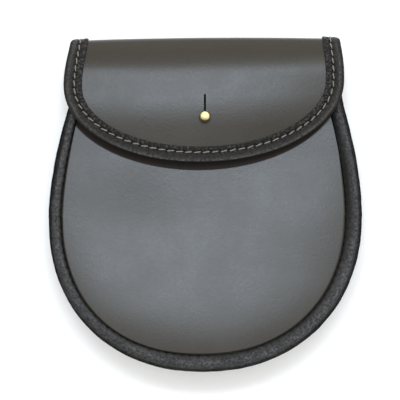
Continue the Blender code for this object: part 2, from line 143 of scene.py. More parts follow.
# angle round from the bottom centre, front roll, back roll, rise of the front roll over the
# seam, pinch of the side, place of the front roll's crest, how full that roll is on its seam
# side and on its outside, how much its seam side is rubbed rather than painted black as shade
# (less on the side that faces away from the light), and how many degrees round it, from the
# seam, the shaded copy of the material starts on its outside as painted shade
GUSSET_COLUMNS = ("angle", "front_roll", "back_roll", "rise", "pinch", "crest",
                  "seam_power", "outside_power", "seam_wear_and_shade", "shaded_turn")
GUSSET_TABLE = (
    (-MOUTH_ANGLE, 7.2 * MM, 5.0 * MM, 2.5 * MM, 5.0 * MM, 0.58, 3.2, 2.2, 0.5, 105.0),
    (-105.0, 7.5 * MM, 8.5 * MM, 3.5 * MM, 3.0 * MM, 0.62, 3.6, 2.2, 1.0, 112.0),
    (-60.0, 8.0 * MM, 9.5 * MM, 4.0 * MM, 2.2 * MM, 0.50, 4.4, 2.7, 1.0, 130.0),
    (0.0, 10.3 * MM, 9.5 * MM, 4.0 * MM, 2.0 * MM, 0.20, 2.5, 2.2, 0.6, 92.0),
    (60.0, 10.3 * MM, 9.5 * MM, 4.0 * MM, 2.2 * MM, 0.30, 2.0, 2.0, 0.9, 108.0),
    (105.0, 10.0 * MM, 8.5 * MM, 3.5 * MM, 3.0 * MM, 0.33, 1.6, 2.2, 0.1, 112.0),
    (MOUTH_ANGLE, 9.2 * MM, 5.0 * MM, 2.5 * MM, 5.0 * MM, 0.38, 1.8, 2.2, 0.2, 110.0),
)


def gusset_size(angle, column):
    """A column of the table at an angle, eased from one row to the next."""
    value = GUSSET_COLUMNS.index(column)
    for low, high in zip(GUSSET_TABLE, GUSSET_TABLE[1:]):
        if angle <= high[0]:
            return mix(low[value], high[value], smooth((angle - low[0]) / (high[0] - low[0])))
    return GUSSET_TABLE[-1][value]


def pouch_outline(angle):
    """Outermost point of the pouch, at an angle in degrees round from the bottom centre."""
    down, across = cos_sin(angle)
    reach = POUCH_LOWER_REACH if down > 0 else POUCH_UPPER_REACH
    power = POUCH_LOWER_POWER if down > 0 else POUCH_UPPER_POWER
    norm = abs(across / POUCH_HALF_WIDTH) ** power + abs(down / reach) ** power
    radius = norm ** (-1.0 / power)
    if down < 0:
        radius = soft_max(radius, WAIST_HALF_WIDTH / abs(across), WAIST_SOFTNESS)
    x, y = radius * across, -radius * down
    return Vector((x + POUCH_LEAN * y, y + POUCH_LEAN * x + POUCH_WIDEST_Y))


def inward(angle):
    """Unit vector from the outline into the pouch, square to the outline."""
    along = pouch_outline(angle + OUTLINE_STEP) - pouch_outline(angle - OUTLINE_STEP)
    return Vector((-along.y, along.x)).normalized()


def inset_outline(angle, inset):
    """The outline's point at an angle, moved into the pouch by a distance."""
    return pouch_outline(angle) + inward(angle) * inset


FRONT_LENGTH = MOUTH_Y - POUCH_WIDEST_Y + POUCH_LOWER_REACH


def down_the_front(y):
    """0 at the mouth, 1 at the bottom."""
    return (MOUTH_Y - y) / FRONT_LENGTH


def front_slope(y):
    """How steeply the front rises from the mouth towards the bottom."""
    return mix(MOUTH_SLOPE, BOTTOM_SLOPE, down_the_front(y))


def front_edge_z(y):
    """Height of the front's outer face at its seam."""
    return MOUTH_Z + 0.5 * (MOUTH_SLOPE + front_slope(y)) * (MOUTH_Y - y)


def crown_height(y):
    """How far the front's middle stands above its seam: not at all at the stiff free mouth."""
    return FRONT_CROWN * down_the_front(y) ** 2


print("pouch width:", round(2000 * POUCH_HALF_WIDTH), "mm")


# %% [markdown]
# ## The course of the long leather
# The back and the flap are one leather. Seen from the side it runs straight up the back, goes
# round a tight bend, opens out and lies over the front. A point on it is given as on the flat
# hide before it is bent: x across, and s along. One function carries such a point into place,
# so the flap, its binding and its stitches all bend alike. Bending a flat mesh with a Simple
# Deform modifier could also work, but this course has seven different radii.

# %% Side view of the back and flap
BEND_START_Y = 93.7 * MM
SHEET_ARCS = (                       # name, radius, turn in degrees
    ("tight bend", 6.90 * MM, 140.0),
    ("open bend", 22.6 * MM, 23.0),
    ("shoulder", 66.0 * MM, 8.2),
    ("foot of the shoulder", 150.0 * MM, 1.3),
    ("upper flap", 1400.0 * MM, 0.45),
    ("middle of the flap", 205.0 * MM, 5.55),
    ("lower flap", 800.0 * MM, 8.1),
)
SIDE_DROOP = 3.6 * MM                # the flap's sides hang lower than its middle
FLAP_TWIST = 0.028                   # and its right side lower than its left
DROOP_LENGTH = 80.0 * MM
DROOP_EASE = 0.10
BEND_TILT = 0.0085                   # the bend isn't quite level: it rises to the right
BEND_BOW = 1.25 * MM                 # and its ends lie lower than its middle
FLAP_HALF_WIDTH = 85.3 * MM
FLAP_WIDEST_Y = 74.3 * MM
FLAP_LOWER_REACH = 49.4 * MM
FLAP_LOWER_POWER = 2.07
FLAP_UPPER_REACH = 96.3 * MM
FLAP_UPPER_POWER = 1.885
FLAP_CENTRE_X = -0.8 * MM
FLAP_LEAN = 0.0150
BEND_HALF_WIDTH = 82.4 * MM
BEND_SOFTNESS = 2.0 * MM
SHOULDER_Y = 79.0 * MM
BINDING_START_Y = 80.5 * MM
LONGEST_FLAP = 120.0 * MM            # length_at looks this far past the top of the bend
HALVINGS = 40                        # and halves that stretch this often
FLAP_STEP = 0.01                     # a small step in u, for the direction of the flap's edge


def sheet_place(s):
    """Middle of the leather at length s, seen from the side: y, z and heading."""
    y, z, heading = BEND_START_Y, BACK_FACE_Z + 0.5 * LEATHER, 0.0
    left = s - BEND_START_Y
    if left <= 0.0:
        return s, z, heading
    for _, radius, turn in SHEET_ARCS:
        step = min(left / radius, math.radians(turn))
        y += radius * (math.sin(heading + step) - math.sin(heading))
        z += radius * (math.cos(heading) - math.cos(heading + step))
        heading += step
        left -= step * radius
    return y, z, heading


TOP_S = BEND_START_Y + SHEET_ARCS[0][1] * math.pi / 2


def length_at(y):
    """Length s of the place on the flap whose height in the front view is y."""
    low, high = TOP_S, TOP_S + LONGEST_FLAP
    for _ in range(HALVINGS):
        middle = 0.5 * (low + high)
        if sheet_place(middle)[0] > y:
            low = middle
        else:
            high = middle
    return low


WIDEST_S = length_at(FLAP_WIDEST_Y)


def on_flap(s):
    """0 up to the top of the bend, 1 from the flap's widest line on."""
    return smooth((s - TOP_S) / (WIDEST_S - TOP_S))


def sheet_point(x, s, offset):
    """A point on the leather at x and s on the flat, moved out from its middle layer."""
    y, z, heading = sheet_place(s)
    bent = smooth((s - SHOULDER_Y) / (BEND_START_Y - SHOULDER_Y)) * (1.0 - on_flap(s))
    shift = bent * (BEND_TILT * x - BEND_BOW * (x / BEND_HALF_WIDTH) ** 2)
    hanging = soft_max((s - TOP_S) / DROOP_LENGTH, 0.0, DROOP_EASE)
    droop = hanging * (SIDE_DROOP * (x / FLAP_HALF_WIDTH) ** 2 + FLAP_TWIST * x)
    return Vector((x, y + shift + offset * math.sin(heading),
                   z - offset * math.cos(heading) - droop))


def flap_side(s):
    """Half the bound leather's width at length s, from behind the bend to the widest line."""
    rise = min(abs(WIDEST_S - s) / FLAP_UPPER_REACH, 1.0)
    half = FLAP_HALF_WIDTH * (1.0 - rise ** FLAP_UPPER_POWER) ** (1.0 / FLAP_UPPER_POWER)
    excess = soft_max(FLAP_HALF_WIDTH, BEND_HALF_WIDTH, BEND_SOFTNESS) - FLAP_HALF_WIDTH
    return soft_max(half, BEND_HALF_WIDTH, BEND_SOFTNESS) - excess


def lean(x, s):
    """The flap is cut a little askew; the bend and the back are straight."""
    shift = FLAP_CENTRE_X - FLAP_LEAN * (s - WIDEST_S)
    return Vector((x + on_flap(s) * shift, s - on_flap(s) * FLAP_LEAN * x))


def flap_outline(u):
    """Edge of the bound leather on the flat: u is 0 at the left behind the bend, 1 at the
    left widest point, 2 at the bottom, 3 at the right and 4 behind the bend again."""
    if u < 1.0 or u > 3.0:
        side = -1.0 if u < 1.0 else 1.0
        s = mix(BINDING_START_Y, WIDEST_S, u if u < 1.0 else 4.0 - u)
        return lean(side * flap_side(s), s)
    turn = (u - 1.0) * math.pi / 2
    across, down = math.cos(turn), math.sin(turn)
    norm = abs(across) ** FLAP_LOWER_POWER + down ** FLAP_LOWER_POWER
    fuller = norm ** (-1.0 / FLAP_LOWER_POWER)
    return lean(-FLAP_HALF_WIDTH * fuller * across, WIDEST_S + FLAP_LOWER_REACH * fuller * down)


def ahead_of(u):
    """A place just past u, for a direction."""
    return min(u + FLAP_STEP, 4.0)


def behind(u):
    """A place just before u."""
    return max(u - FLAP_STEP, 0.0)


def flap_inset(u, inset):
    """The flap's edge moved in by a distance, on the flat."""
    along = flap_outline(ahead_of(u)) - flap_outline(behind(u))
    return flap_outline(u) + Vector((along.y, -along.x)).normalized() * inset


print("flap length along the leather:",
      round(1000 * (WIDEST_S + FLAP_LOWER_REACH - TOP_S)), "mm")


# %% [markdown]
# ## Making meshes
# Each leather is a closed shell: a grid of points on the grain side, one on the flesh side and
# a rim between them, where the cut edge shows. A soft part is a ring of points swept along a
# path. Both are plain lists of points, so a helper turns lists into an object, gives each
# region its own material and shades it smooth. A Bevel modifier rounds the cut edges, because
# a knife-sharp edge never catches the light as real leather does.

# %% Helpers for meshes
MERGE_DISTANCE = 0.001 * MM
BEVEL_ANGLE = math.radians(50.0)     # edges that turn more than this get rounded


def new_mesh(name, points, faces, regions, materials, wear_and_shade=None):
    """A closed mesh with its faces turned outwards; regions pick a material for each face."""
    mesh = bpy.data.meshes.new(name)
    mesh.from_pydata([tuple(p) for p in points], [], faces)
    if wear_and_shade:
        mesh.attributes.new("wear_and_shade", "FLOAT", "POINT").data.foreach_set("value", wear_and_shade)
    for material in materials:
        mesh.materials.append(material)
    mesh.polygons.foreach_set("material_index", regions)
    bm = bmesh.new()
    bm.from_mesh(mesh)
    bmesh.ops.remove_doubles(bm, verts=bm.verts, dist=MERGE_DISTANCE)
    bmesh.ops.recalc_face_normals(bm, faces=bm.faces)
    bm.to_mesh(mesh)
    bm.free()
    return mesh


def new_object(name, mesh):
    """An object in the scene, with a mesh."""
    thing = bpy.data.objects.new(name, mesh)
    bpy.context.scene.collection.objects.link(thing)
    return thing


def new_piece(name, points, faces, regions, materials, slot, replaces=None, sharp=35.0,
              wear_and_shade=None):
    """A piece of the pouch, shaded smooth but for edges that turn more than sharp degrees."""
    mesh = new_mesh(name, points, faces, regions, materials, wear_and_shade)
    mesh.shade_smooth()
    mesh.set_sharp_from_angle(angle=math.radians(sharp))
    piece = new_object(name, mesh)
    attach(piece, BODY)
    if replaces:
        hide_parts(replaces)
    print(f"{name}: {len(mesh.polygons)} faces")
    return piece


def round_edges(piece, width):
    """Round the cut edges of a leather."""
    bevel = piece.modifiers.new("rounded edges", "BEVEL")
    bevel.width = width
    bevel.segments = 2
    bevel.limit_method = "ANGLE"
    bevel.angle_limit = BEVEL_ANGLE
    bevel.harden_normals = True
    print(f"{piece.name}: edges rounded by {round(1000 * width, 2)} mm")


def shell(outer, inner):
    """Points, faces and regions (0 grain side, 1 flesh side, 2 rim) of a closed leather."""
    rows, columns = len(outer), len(outer[0])
    points = [p for grid in (outer, inner) for row in grid for p in row]
    faces, regions = [], []

    def at(side, i, j):
        return side * rows * columns + i * columns + j

    for side in (0, 1):
        for i in range(rows - 1):
            for j in range(columns - 1):
                faces.append((at(side, i, j), at(side, i, j + 1),
                              at(side, i + 1, j + 1), at(side, i + 1, j)))
                regions.append(side)
    rim = [(0, j) for j in range(columns - 1)] + [(i, columns - 1) for i in range(rows - 1)]
    rim += [(rows - 1, j) for j in range(columns - 1, 0, -1)]
    rim += [(i, 0) for i in range(rows - 1, 0, -1)]
    for (i, j), (k, m) in zip(rim, rim[1:] + rim[:1]):
        faces.append((at(0, i, j), at(0, k, m), at(1, k, m), at(1, i, j)))
        regions.append(2)
    return points, faces, regions


def swept(rings, region_of=lambda i, j: 0):
    """Points, faces and regions of a closed tube through rings, capped at both ends."""
    count = len(rings[0])
    points = [p for ring in rings for p in ring]
    faces, regions = [], []
    for i in range(len(rings) - 1):
        for j in range(count):
            k = (j + 1) % count
            faces.append((i * count + j, i * count + k, (i + 1) * count + k, (i + 1) * count + j))
            regions.append(region_of(i, j))
    last = (len(rings) - 1) * count
    faces += [tuple(range(count)), tuple(range(last, last + count))]
    regions += [region_of(0, 0)] * 2
    return points, faces, regions


print("points closer than", round(1000 * MERGE_DISTANCE, 3), "mm are merged")


# %% [markdown]
# ## Materials
# One small function adds a node, sets its values and feeds its sockets. Everything else is
# written out, so that each material reads from the surface inwards. A Mix node has a pair of
# sockets called A and B for each kind of value, so its sockets are picked by number where the
# name alone would find the wrong pair: 2 and 3 take plain values, 4 and 5 take vectors, and 6
# and 7 take colours.

# %% One function for nodes
def add_node(tree, kind, values=None, feeds=None, **settings):
    """A node of a kind: values go on its sockets, feeds are the outputs linked to them."""
    item = tree.nodes.new(kind)
    for name, value in settings.items():
        setattr(item, name, value)
    for socket, value in (values or {}).items():
        item.inputs[socket].default_value = value
    for socket, source in (feeds or {}).items():
        tree.links.new(source, item.inputs[socket])
    return item


def new_material(name, **shader_values):
    """A material with a Principled shader, whose own sockets take the values."""
    material = bpy.data.materials.new(name)
    material.use_nodes = True
    tree = material.node_tree
    shader = tree.nodes["Principled BSDF"]
    for socket, value in shader_values.items():
        shader.inputs[socket.replace("_", " ")].default_value = value
    return material, tree, shader


def per_mm(size):
    """Scale of a texture whose features are this many millimetres across."""
    return 1.0 / (size * MM)


print("a pattern 2 mm across has the scale", round(per_mm(2.0)))


# %% [markdown]
# ### Smooth bridle leather
# The front and the flap are vegetable-tanned cowhide, dyed black, waxed and rolled smooth. The
# dye is never a pure black: where no light is mirrored it is a warm dark olive brown. The wax
# gives a soft, wide sheen. Up close there are pores about 0.4 mm apart, and broader soft
# patches where the hide took more wax. The pores are drawn at 0.8 mm, because finer ones
# don't show at this distance.

# %% Smooth leather
WAX_SPREAD = 0.03                    # how much the patches change the roughness, up and down


def smooth_leather(name, dye, pale_dye, roughness):
    """Cowhide whose dye goes from dark to pale with the patches of wax."""
    material, tree, shader = new_material(name, IOR=1.38)
    place = add_node(tree, "ShaderNodeTexCoord").outputs["Object"]
    patches = add_node(tree, "ShaderNodeTexNoise", {"Scale": per_mm(26), "Detail": 3.0},
                       {"Vector": place})
    mottle = add_node(tree, "ShaderNodeTexNoise", {"Scale": per_mm(2.4), "Detail": 4.0},
                      {"Vector": place})
    both = add_node(tree, "ShaderNodeMix", {"Factor": 0.35},
                    {"A": patches.outputs["Fac"], "B": mottle.outputs["Fac"]})
    colour = add_node(tree, "ShaderNodeValToRGB", feeds={"Fac": both.outputs["Result"]})
    colour.color_ramp.elements[0].position = 0.38
    colour.color_ramp.elements[0].color = hex_colour(dye)
    colour.color_ramp.elements[1].position = 0.64
    colour.color_ramp.elements[1].color = hex_colour(pale_dye)
    gloss = add_node(tree, "ShaderNodeMapRange",
                     {"From Min": 0.3, "From Max": 0.7,
                      "To Min": roughness - WAX_SPREAD, "To Max": roughness + WAX_SPREAD},
                     {"Value": both.outputs["Result"]})
    pores = add_node(tree, "ShaderNodeTexVoronoi", {"Scale": per_mm(0.8)}, {"Vector": place})
    pore_bump = add_node(tree, "ShaderNodeBump", {"Strength": 0.35, "Distance": 0.05 * MM},
                         {"Height": pores.outputs["Distance"]})
    grain = add_node(tree, "ShaderNodeTexNoise", {"Scale": per_mm(1.8), "Detail": 5.0},
                     {"Vector": place})
    grain_bump = add_node(tree, "ShaderNodeBump", {"Strength": 0.5, "Distance": 0.05 * MM},
                          {"Height": grain.outputs["Fac"], "Normal": pore_bump.outputs["Normal"]})
    tree.links.new(colour.outputs["Color"], shader.inputs["Base Color"])
    tree.links.new(gloss.outputs["Result"], shader.inputs["Roughness"])
    tree.links.new(grain_bump.outputs["Normal"], shader.inputs["Normal"])
    return material


front_leather = smooth_leather("waxed cowhide, front", "#292620", "#2d2a24", roughness=0.28)
flap_leather = smooth_leather("waxed cowhide, flap", "#1f190c", "#231d10", roughness=0.28)
keeper_leather = smooth_leather("waxed cowhide, keeper", "#211f1b", "#2a2823", roughness=0.46)
print("smooth leathers:", front_leather.name, "/", flap_leather.name, "/", keeper_leather.name)

# %% [markdown]
# ### The flap's painted shadow
# The flap's edge stands above the front, and its shadow on the front is painted into the
# front's colour: a strip below the flap's edge gets a dark brown dye and a high roughness,
# which also takes away the sheen there. Its outline is an ellipse as wide as the flap, moved
# down. A Mapping node turns the ellipse into a circle with a radius of one, so the distance
# from its middle tells inside from outside.

# %% The painted shadow below the flap
# the flap's painted shadow: how far it is moved from the flap's outline, how much narrower it is,
# where its dye comes in, its dye and its roughness
FLAP_SHADOW_SHIFT = (-2.3 * MM, -4.4 * MM)
FLAP_SHADOW_SHRINK = 1.0 * MM
FLAP_SHADOW_EDGE = (1.005, 0.993)          # shares of the ellipse between which the dye changes
FLAP_SHADOW_DYE = "#150d08"
FLAP_SHADOW_ROUGHNESS = 0.75


def flap_edge_reach():
    """How far the flap's lower edge is below its widest line, in the front view."""
    return FLAP_WIDEST_Y - sheet_point(*flap_outline(2.0), 0.0).y


# paint the flap's shadow into the front's colour and roughness
def paint_flap_shadow(material):
    tree = material.node_tree
    shader = tree.nodes["Principled BSDF"]
    place = add_node(tree, "ShaderNodeTexCoord").outputs["Object"]
    middle = (FLAP_CENTRE_X + FLAP_SHADOW_SHIFT[0], FLAP_WIDEST_Y + FLAP_SHADOW_SHIFT[1], 0.0)
    reach = (FLAP_HALF_WIDTH - FLAP_SHADOW_SHRINK, flap_edge_reach(), 1.0)
    across = add_node(tree, "ShaderNodeMapping",
                      {"Location": middle, "Rotation": (0.0, 0.0, FLAP_LEAN), "Scale": reach},
                      {"Vector": place}, vector_type="TEXTURE")
    distance = add_node(tree, "ShaderNodeVectorMath", feeds={0: across.outputs["Vector"]},
                        operation="LENGTH")
    shadowed = add_node(tree, "ShaderNodeMapRange",
                       {"From Min": FLAP_SHADOW_EDGE[0], "From Max": FLAP_SHADOW_EDGE[1],
                        "To Min": 0.0, "To Max": 1.0},
                       {"Value": distance.outputs["Value"]}).outputs["Result"]
    unshadowed_colour = shader.inputs["Base Color"].links[0].from_socket
    unshadowed_gloss = shader.inputs["Roughness"].links[0].from_socket
    # mix the painted shadow's dark brown and roughness into the front's own colour and roughness
    tint = add_node(tree, "ShaderNodeMix", {7: hex_colour(FLAP_SHADOW_DYE)},
                    {0: shadowed, 6: unshadowed_colour}, data_type="RGBA")
    gloss = add_node(tree, "ShaderNodeMix", {3: FLAP_SHADOW_ROUGHNESS},
                     {0: shadowed, 2: unshadowed_gloss})
    tree.links.new(tint.outputs[2], shader.inputs["Base Color"])
    tree.links.new(gloss.outputs[0], shader.inputs["Roughness"])


# paint the flap's shadow onto the front
paint_flap_shadow(front_leather)
print("covered part reaches down to y =",
      round(1000 * (FLAP_WIDEST_Y + FLAP_SHADOW_SHIFT[1] - flap_edge_reach())), "mm")

# %% [markdown]
# ### Soft garment leather
# The gusset and the binding are thin sheepskin, drum-dyed black. It is soft, so it wrinkles
# and shows a pebbled grain, drawn 1.5 mm across, with fine creases between the pebbles. It
# carries less wax than the cowhide, so its sheen is weaker. Use rubs it bright where it stands
# out. Painted shade goes with that rubbing: the seams, furrows, stitch holes, the creases' feet
# and the sides that face away from the light are painted black and made matt. Each mesh has
# rubbing and painted shade as one attribute, from 0 to 1, which the material mixes by.
# Speckles break it up, because only the pebbles' tops get the rubbing. Painting a mask by hand
# would work too, but the shapes know best. The gusset's outside gets a shaded copy of the
# material that mirrors hardly anything: painted shade. How much a shader mirrors is best kept
# as one plain value, so that side gets a material of its own.

# %% Soft leather
# the black that the soft leather gets where it isn't rubbed and where shade is painted on: seams,
# furrows, holes and sides that face away from the light
UNRUBBED_AND_SHADED_DYE = "#070706"
SHELTERED_ROUGHNESS = 0.75
SPECKLE_SIZE = 1.5
SPECKLE_RANGE = (0.35, 1.25)         # what the speckles multiply the wear by
PEBBLE_WANDER = 0.002                # keeps the pebbles from lying in rows
CREASE_DEPTH = 1.6                   # the creases between the pebbles, in pebbles' depths
CREST_SPREAD = 0.07                  # how much the patches change the roughness, up and down


def soft_leather(name, dye, crest_dye, roughness, pebble, relief, sheen_level):
    """Sheepskin: pebble is the grain's size and relief its depth, in millimetres."""
    material, tree, shader = new_material(name, IOR=1.40, Specular_IOR_Level=sheen_level)
    place = add_node(tree, "ShaderNodeTexCoord").outputs["Object"]
    wander = add_node(tree, "ShaderNodeTexNoise", {"Scale": per_mm(3.0), "Detail": 2.0},
                      {"Vector": place})
    bent = add_node(tree, "ShaderNodeMix",
                    {"Factor": PEBBLE_WANDER, "A": (0, 0, 0), "B": (0, 0, 0)}, data_type="VECTOR")
    tree.links.new(place, bent.inputs[4])
    tree.links.new(wander.outputs["Color"], bent.inputs[5])
    pebbles = add_node(tree, "ShaderNodeTexVoronoi", {"Scale": per_mm(pebble)},
                       {"Vector": bent.outputs[1]}, feature="SMOOTH_F1")
    creases = add_node(tree, "ShaderNodeTexNoise",
                       {"Scale": per_mm(4.5), "Detail": 6.0, "Roughness": 0.65},
                       {"Vector": place})
    patches = add_node(tree, "ShaderNodeTexNoise", {"Scale": per_mm(11), "Detail": 3.0},
                       {"Vector": place})
    both = add_node(tree, "ShaderNodeMix", {"Factor": 0.5},
                    {"A": patches.outputs["Fac"], "B": creases.outputs["Fac"]})
    colour = add_node(tree, "ShaderNodeValToRGB", feeds={"Fac": both.outputs["Result"]})
    colour.color_ramp.elements[0].position = 0.40
    colour.color_ramp.elements[0].color = hex_colour(dye)
    colour.color_ramp.elements[1].position = 0.66
    colour.color_ramp.elements[1].color = hex_colour(crest_dye)
    gloss = add_node(tree, "ShaderNodeMapRange",
                     {"From Min": 0.3, "From Max": 0.7,
                      "To Min": roughness + CREST_SPREAD, "To Max": roughness - CREST_SPREAD},
                     {"Value": both.outputs["Result"]})
    pebble_bump = add_node(tree, "ShaderNodeBump",
                           {"Strength": 0.8, "Distance": relief * MM},
                           {"Height": pebbles.outputs["Distance"]}, invert=True)
    crease_bump = add_node(tree, "ShaderNodeBump",
                           {"Strength": 0.7, "Distance": CREASE_DEPTH * relief * MM},
                           {"Height": creases.outputs["Fac"],
                            "Normal": pebble_bump.outputs["Normal"]})
    grains = add_node(tree, "ShaderNodeTexNoise", {"Scale": per_mm(SPECKLE_SIZE), "Detail": 2.0},
                      {"Vector": place})
    speckle = add_node(tree, "ShaderNodeMapRange",
                       {"From Min": 0.36, "From Max": 0.62,
                        "To Min": SPECKLE_RANGE[0], "To Max": SPECKLE_RANGE[1]},
                       {"Value": grains.outputs["Fac"]})
    # the mesh's rubbing and painted shade: at 0 the leather is painted black and matt as shade, at
    # 1 it keeps its dye
    rubbed_and_shaded = add_node(tree, "ShaderNodeAttribute", attribute_name="wear_and_shade")
    wear_and_shade = add_node(tree, "ShaderNodeMath", feeds={0: rubbed_and_shaded.outputs["Fac"],
                                                   1: speckle.outputs["Result"]},
                    operation="MULTIPLY").outputs["Value"]
    tint = add_node(tree, "ShaderNodeMix", {6: hex_colour(UNRUBBED_AND_SHADED_DYE)},
                    {0: wear_and_shade, 7: colour.outputs["Color"]}, data_type="RGBA")
    polish = add_node(tree, "ShaderNodeMix", {2: SHELTERED_ROUGHNESS},
                      {0: wear_and_shade, 3: gloss.outputs["Result"]})
    tree.links.new(tint.outputs[2], shader.inputs["Base Color"])
    tree.links.new(polish.outputs[0], shader.inputs["Roughness"])
    tree.links.new(crease_bump.outputs["Normal"], shader.inputs["Normal"])
    return material


gusset_leather = soft_leather("garment sheepskin, gusset", "#1e1d1d", "#302f2e",
                              roughness=0.28, pebble=1.6, relief=0.32, sheen_level=0.36)
# a shaded copy of the gusset's leather that mirrors hardly anything: painted shade on the roll's
# outside and the side
gusset_shaded_outside = soft_leather("garment sheepskin, dull outside", "#1e1d1d", "#302f2e",
                              roughness=0.28, pebble=1.6, relief=0.32, sheen_level=0.08)
binding_leather = soft_leather("garment sheepskin, binding", "#1f1d19", "#322e27",
                               roughness=0.25, pebble=1.5, relief=0.42, sheen_level=0.36)
print("soft leathers:", gusset_leather.name, "/", binding_leather.name)


# %% [markdown]
# ### Flesh side and cut edges
# The inside of cowhide is the flesh side: a short, matt nap. Its cut edges are painted with
# black edge dye and rubbed, so they are darker and a little glossy.

# %% Flesh side and edges
def flesh_side():
    material, tree, shader = new_material("cowhide flesh side", IOR=1.40, Roughness=0.9,
                                          Sheen_Weight=0.25, Sheen_Roughness=0.6)
    place = add_node(tree, "ShaderNodeTexCoord").outputs["Object"]
    nap = add_node(tree, "ShaderNodeTexNoise",
                   {"Scale": per_mm(1.1), "Detail": 8.0, "Roughness": 0.75}, {"Vector": place})
    colour = add_node(tree, "ShaderNodeValToRGB", feeds={"Fac": nap.outputs["Fac"]})
    colour.color_ramp.elements[0].position = 0.30
    colour.color_ramp.elements[0].color = hex_colour("#1d1914")
    colour.color_ramp.elements[1].position = 0.75
    colour.color_ramp.elements[1].color = hex_colour("#3a332a")
    bump = add_node(tree, "ShaderNodeBump", {"Strength": 0.9, "Distance": 0.15 * MM},
                    {"Height": nap.outputs["Fac"]})
    tree.links.new(colour.outputs["Color"], shader.inputs["Base Color"])
    tree.links.new(bump.outputs["Normal"], shader.inputs["Normal"])
    return material


def painted_edge():
    material, tree, shader = new_material("painted leather edge", IOR=1.45)
    place = add_node(tree, "ShaderNodeTexCoord").outputs["Object"]
    fibres = add_node(tree, "ShaderNodeTexNoise", {"Scale": per_mm(0.9), "Detail": 5.0},
                      {"Vector": place})
    colour = add_node(tree, "ShaderNodeValToRGB", feeds={"Fac": fibres.outputs["Fac"]})
    colour.color_ramp.elements[0].color = hex_colour("#0d0c0a")
    colour.color_ramp.elements[1].color = hex_colour("#1e1b17")
    gloss = add_node(tree, "ShaderNodeMapRange", {"To Min": 0.30, "To Max": 0.48},
                     {"Value": fibres.outputs["Fac"]})
    bump = add_node(tree, "ShaderNodeBump", {"Strength": 0.4, "Distance": 0.08 * MM},
                    {"Height": fibres.outputs["Fac"]})
    tree.links.new(colour.outputs["Color"], shader.inputs["Base Color"])
    tree.links.new(gloss.outputs["Result"], shader.inputs["Roughness"])
    tree.links.new(bump.outputs["Normal"], shader.inputs["Normal"])
    return material


leather_flesh = flesh_side()
leather_edge = painted_edge()
print("flesh side and edge:", leather_flesh.name, "/", leather_edge.name)


# %% [markdown]
# ### Waxed linen thread and brass
# The flap is sewn with two-ply waxed linen in a grey beige. The stud is turned and polished
# brass: a warm yellow metal with faint rings from the lathe.

# %% Thread and brass
TARNISH_SPREAD = (0.06, -0.04)       # what the stains add to the brass's roughness


def linen_thread():
    material, tree, shader = new_material("waxed linen thread", IOR=1.5, Sheen_Weight=0.15)
    place = add_node(tree, "ShaderNodeTexCoord").outputs["Object"]
    fibres = add_node(tree, "ShaderNodeTexNoise",
                      {"Scale": per_mm(0.5), "Detail": 4.0, "Roughness": 0.6}, {"Vector": place})
    colour = add_node(tree, "ShaderNodeValToRGB", feeds={"Fac": fibres.outputs["Fac"]})
    colour.color_ramp.elements[0].position = 0.3
    colour.color_ramp.elements[0].color = hex_colour("#55514a")
    colour.color_ramp.elements[1].position = 0.7
    colour.color_ramp.elements[1].color = hex_colour("#7b776b")
    gloss = add_node(tree, "ShaderNodeMapRange", {"To Min": 0.45, "To Max": 0.7},
                     {"Value": fibres.outputs["Fac"]})
    bump = add_node(tree, "ShaderNodeBump", {"Strength": 0.5, "Distance": 0.06 * MM},
                    {"Height": fibres.outputs["Fac"]})
    tree.links.new(colour.outputs["Color"], shader.inputs["Base Color"])
    tree.links.new(gloss.outputs["Result"], shader.inputs["Roughness"])
    tree.links.new(bump.outputs["Normal"], shader.inputs["Normal"])
    return material


def turned_brass(name, tone, worn_tone, roughness, ring):
    """Brass from the lathe, with rings this many millimetres apart."""
    material, tree, shader = new_material(name, Metallic=1.0)
    place = add_node(tree, "ShaderNodeTexCoord").outputs["Object"]
    stains = add_node(tree, "ShaderNodeTexNoise", {"Scale": per_mm(2.0), "Detail": 5.0},
                      {"Vector": place})
    colour = add_node(tree, "ShaderNodeValToRGB", feeds={"Fac": stains.outputs["Fac"]})
    colour.color_ramp.elements[0].position = 0.35
    colour.color_ramp.elements[0].color = hex_colour(worn_tone)
    colour.color_ramp.elements[1].position = 0.6
    colour.color_ramp.elements[1].color = hex_colour(tone)
    gloss = add_node(tree, "ShaderNodeMapRange",
                     {"To Min": roughness + TARNISH_SPREAD[0],
                      "To Max": roughness + TARNISH_SPREAD[1]},
                     {"Value": stains.outputs["Fac"]})
    rings = add_node(tree, "ShaderNodeTexWave", {"Scale": per_mm(ring), "Distortion": 0.4},
                     {"Vector": place}, bands_direction="Z")
    bump = add_node(tree, "ShaderNodeBump", {"Strength": 0.15, "Distance": 0.01 * MM},
                    {"Height": rings.outputs["Fac"]})
    tree.links.new(colour.outputs["Color"], shader.inputs["Base Color"])
    tree.links.new(gloss.outputs["Result"], shader.inputs["Roughness"])
    tree.links.new(bump.outputs["Normal"], shader.inputs["Normal"])
    return material


thread = linen_thread()
stud_brass = turned_brass("polished turned brass", "#f0e3ab", "#d9c27e", roughness=0.20, ring=0.9)
screw_brass = turned_brass("plain turned brass", "#cdb06a", "#8f7440", roughness=0.38, ring=0.9)
print("thread and brass:", thread.name, "/", stud_brass.name, "/", screw_brass.name)


# %% [markdown]
# ## The front
# The front is stiff leather sewn in all round, so what the pouch holds pushes it out: flat in
# the middle and steeper by the seam. A cushion simulated with pressure would swell evenly, like
# a balloon, which stiff leather doesn't, so the crown is a formula: 1 minus a high power of the
# distance from the middle. Use has let it sink a little on the left and pushed it out on the
# right, by less than a millimetre, and only the sheen shows it. The last millimetre dips into
# the seam, and very small unevennesses keep the sheen from looking like plastic.

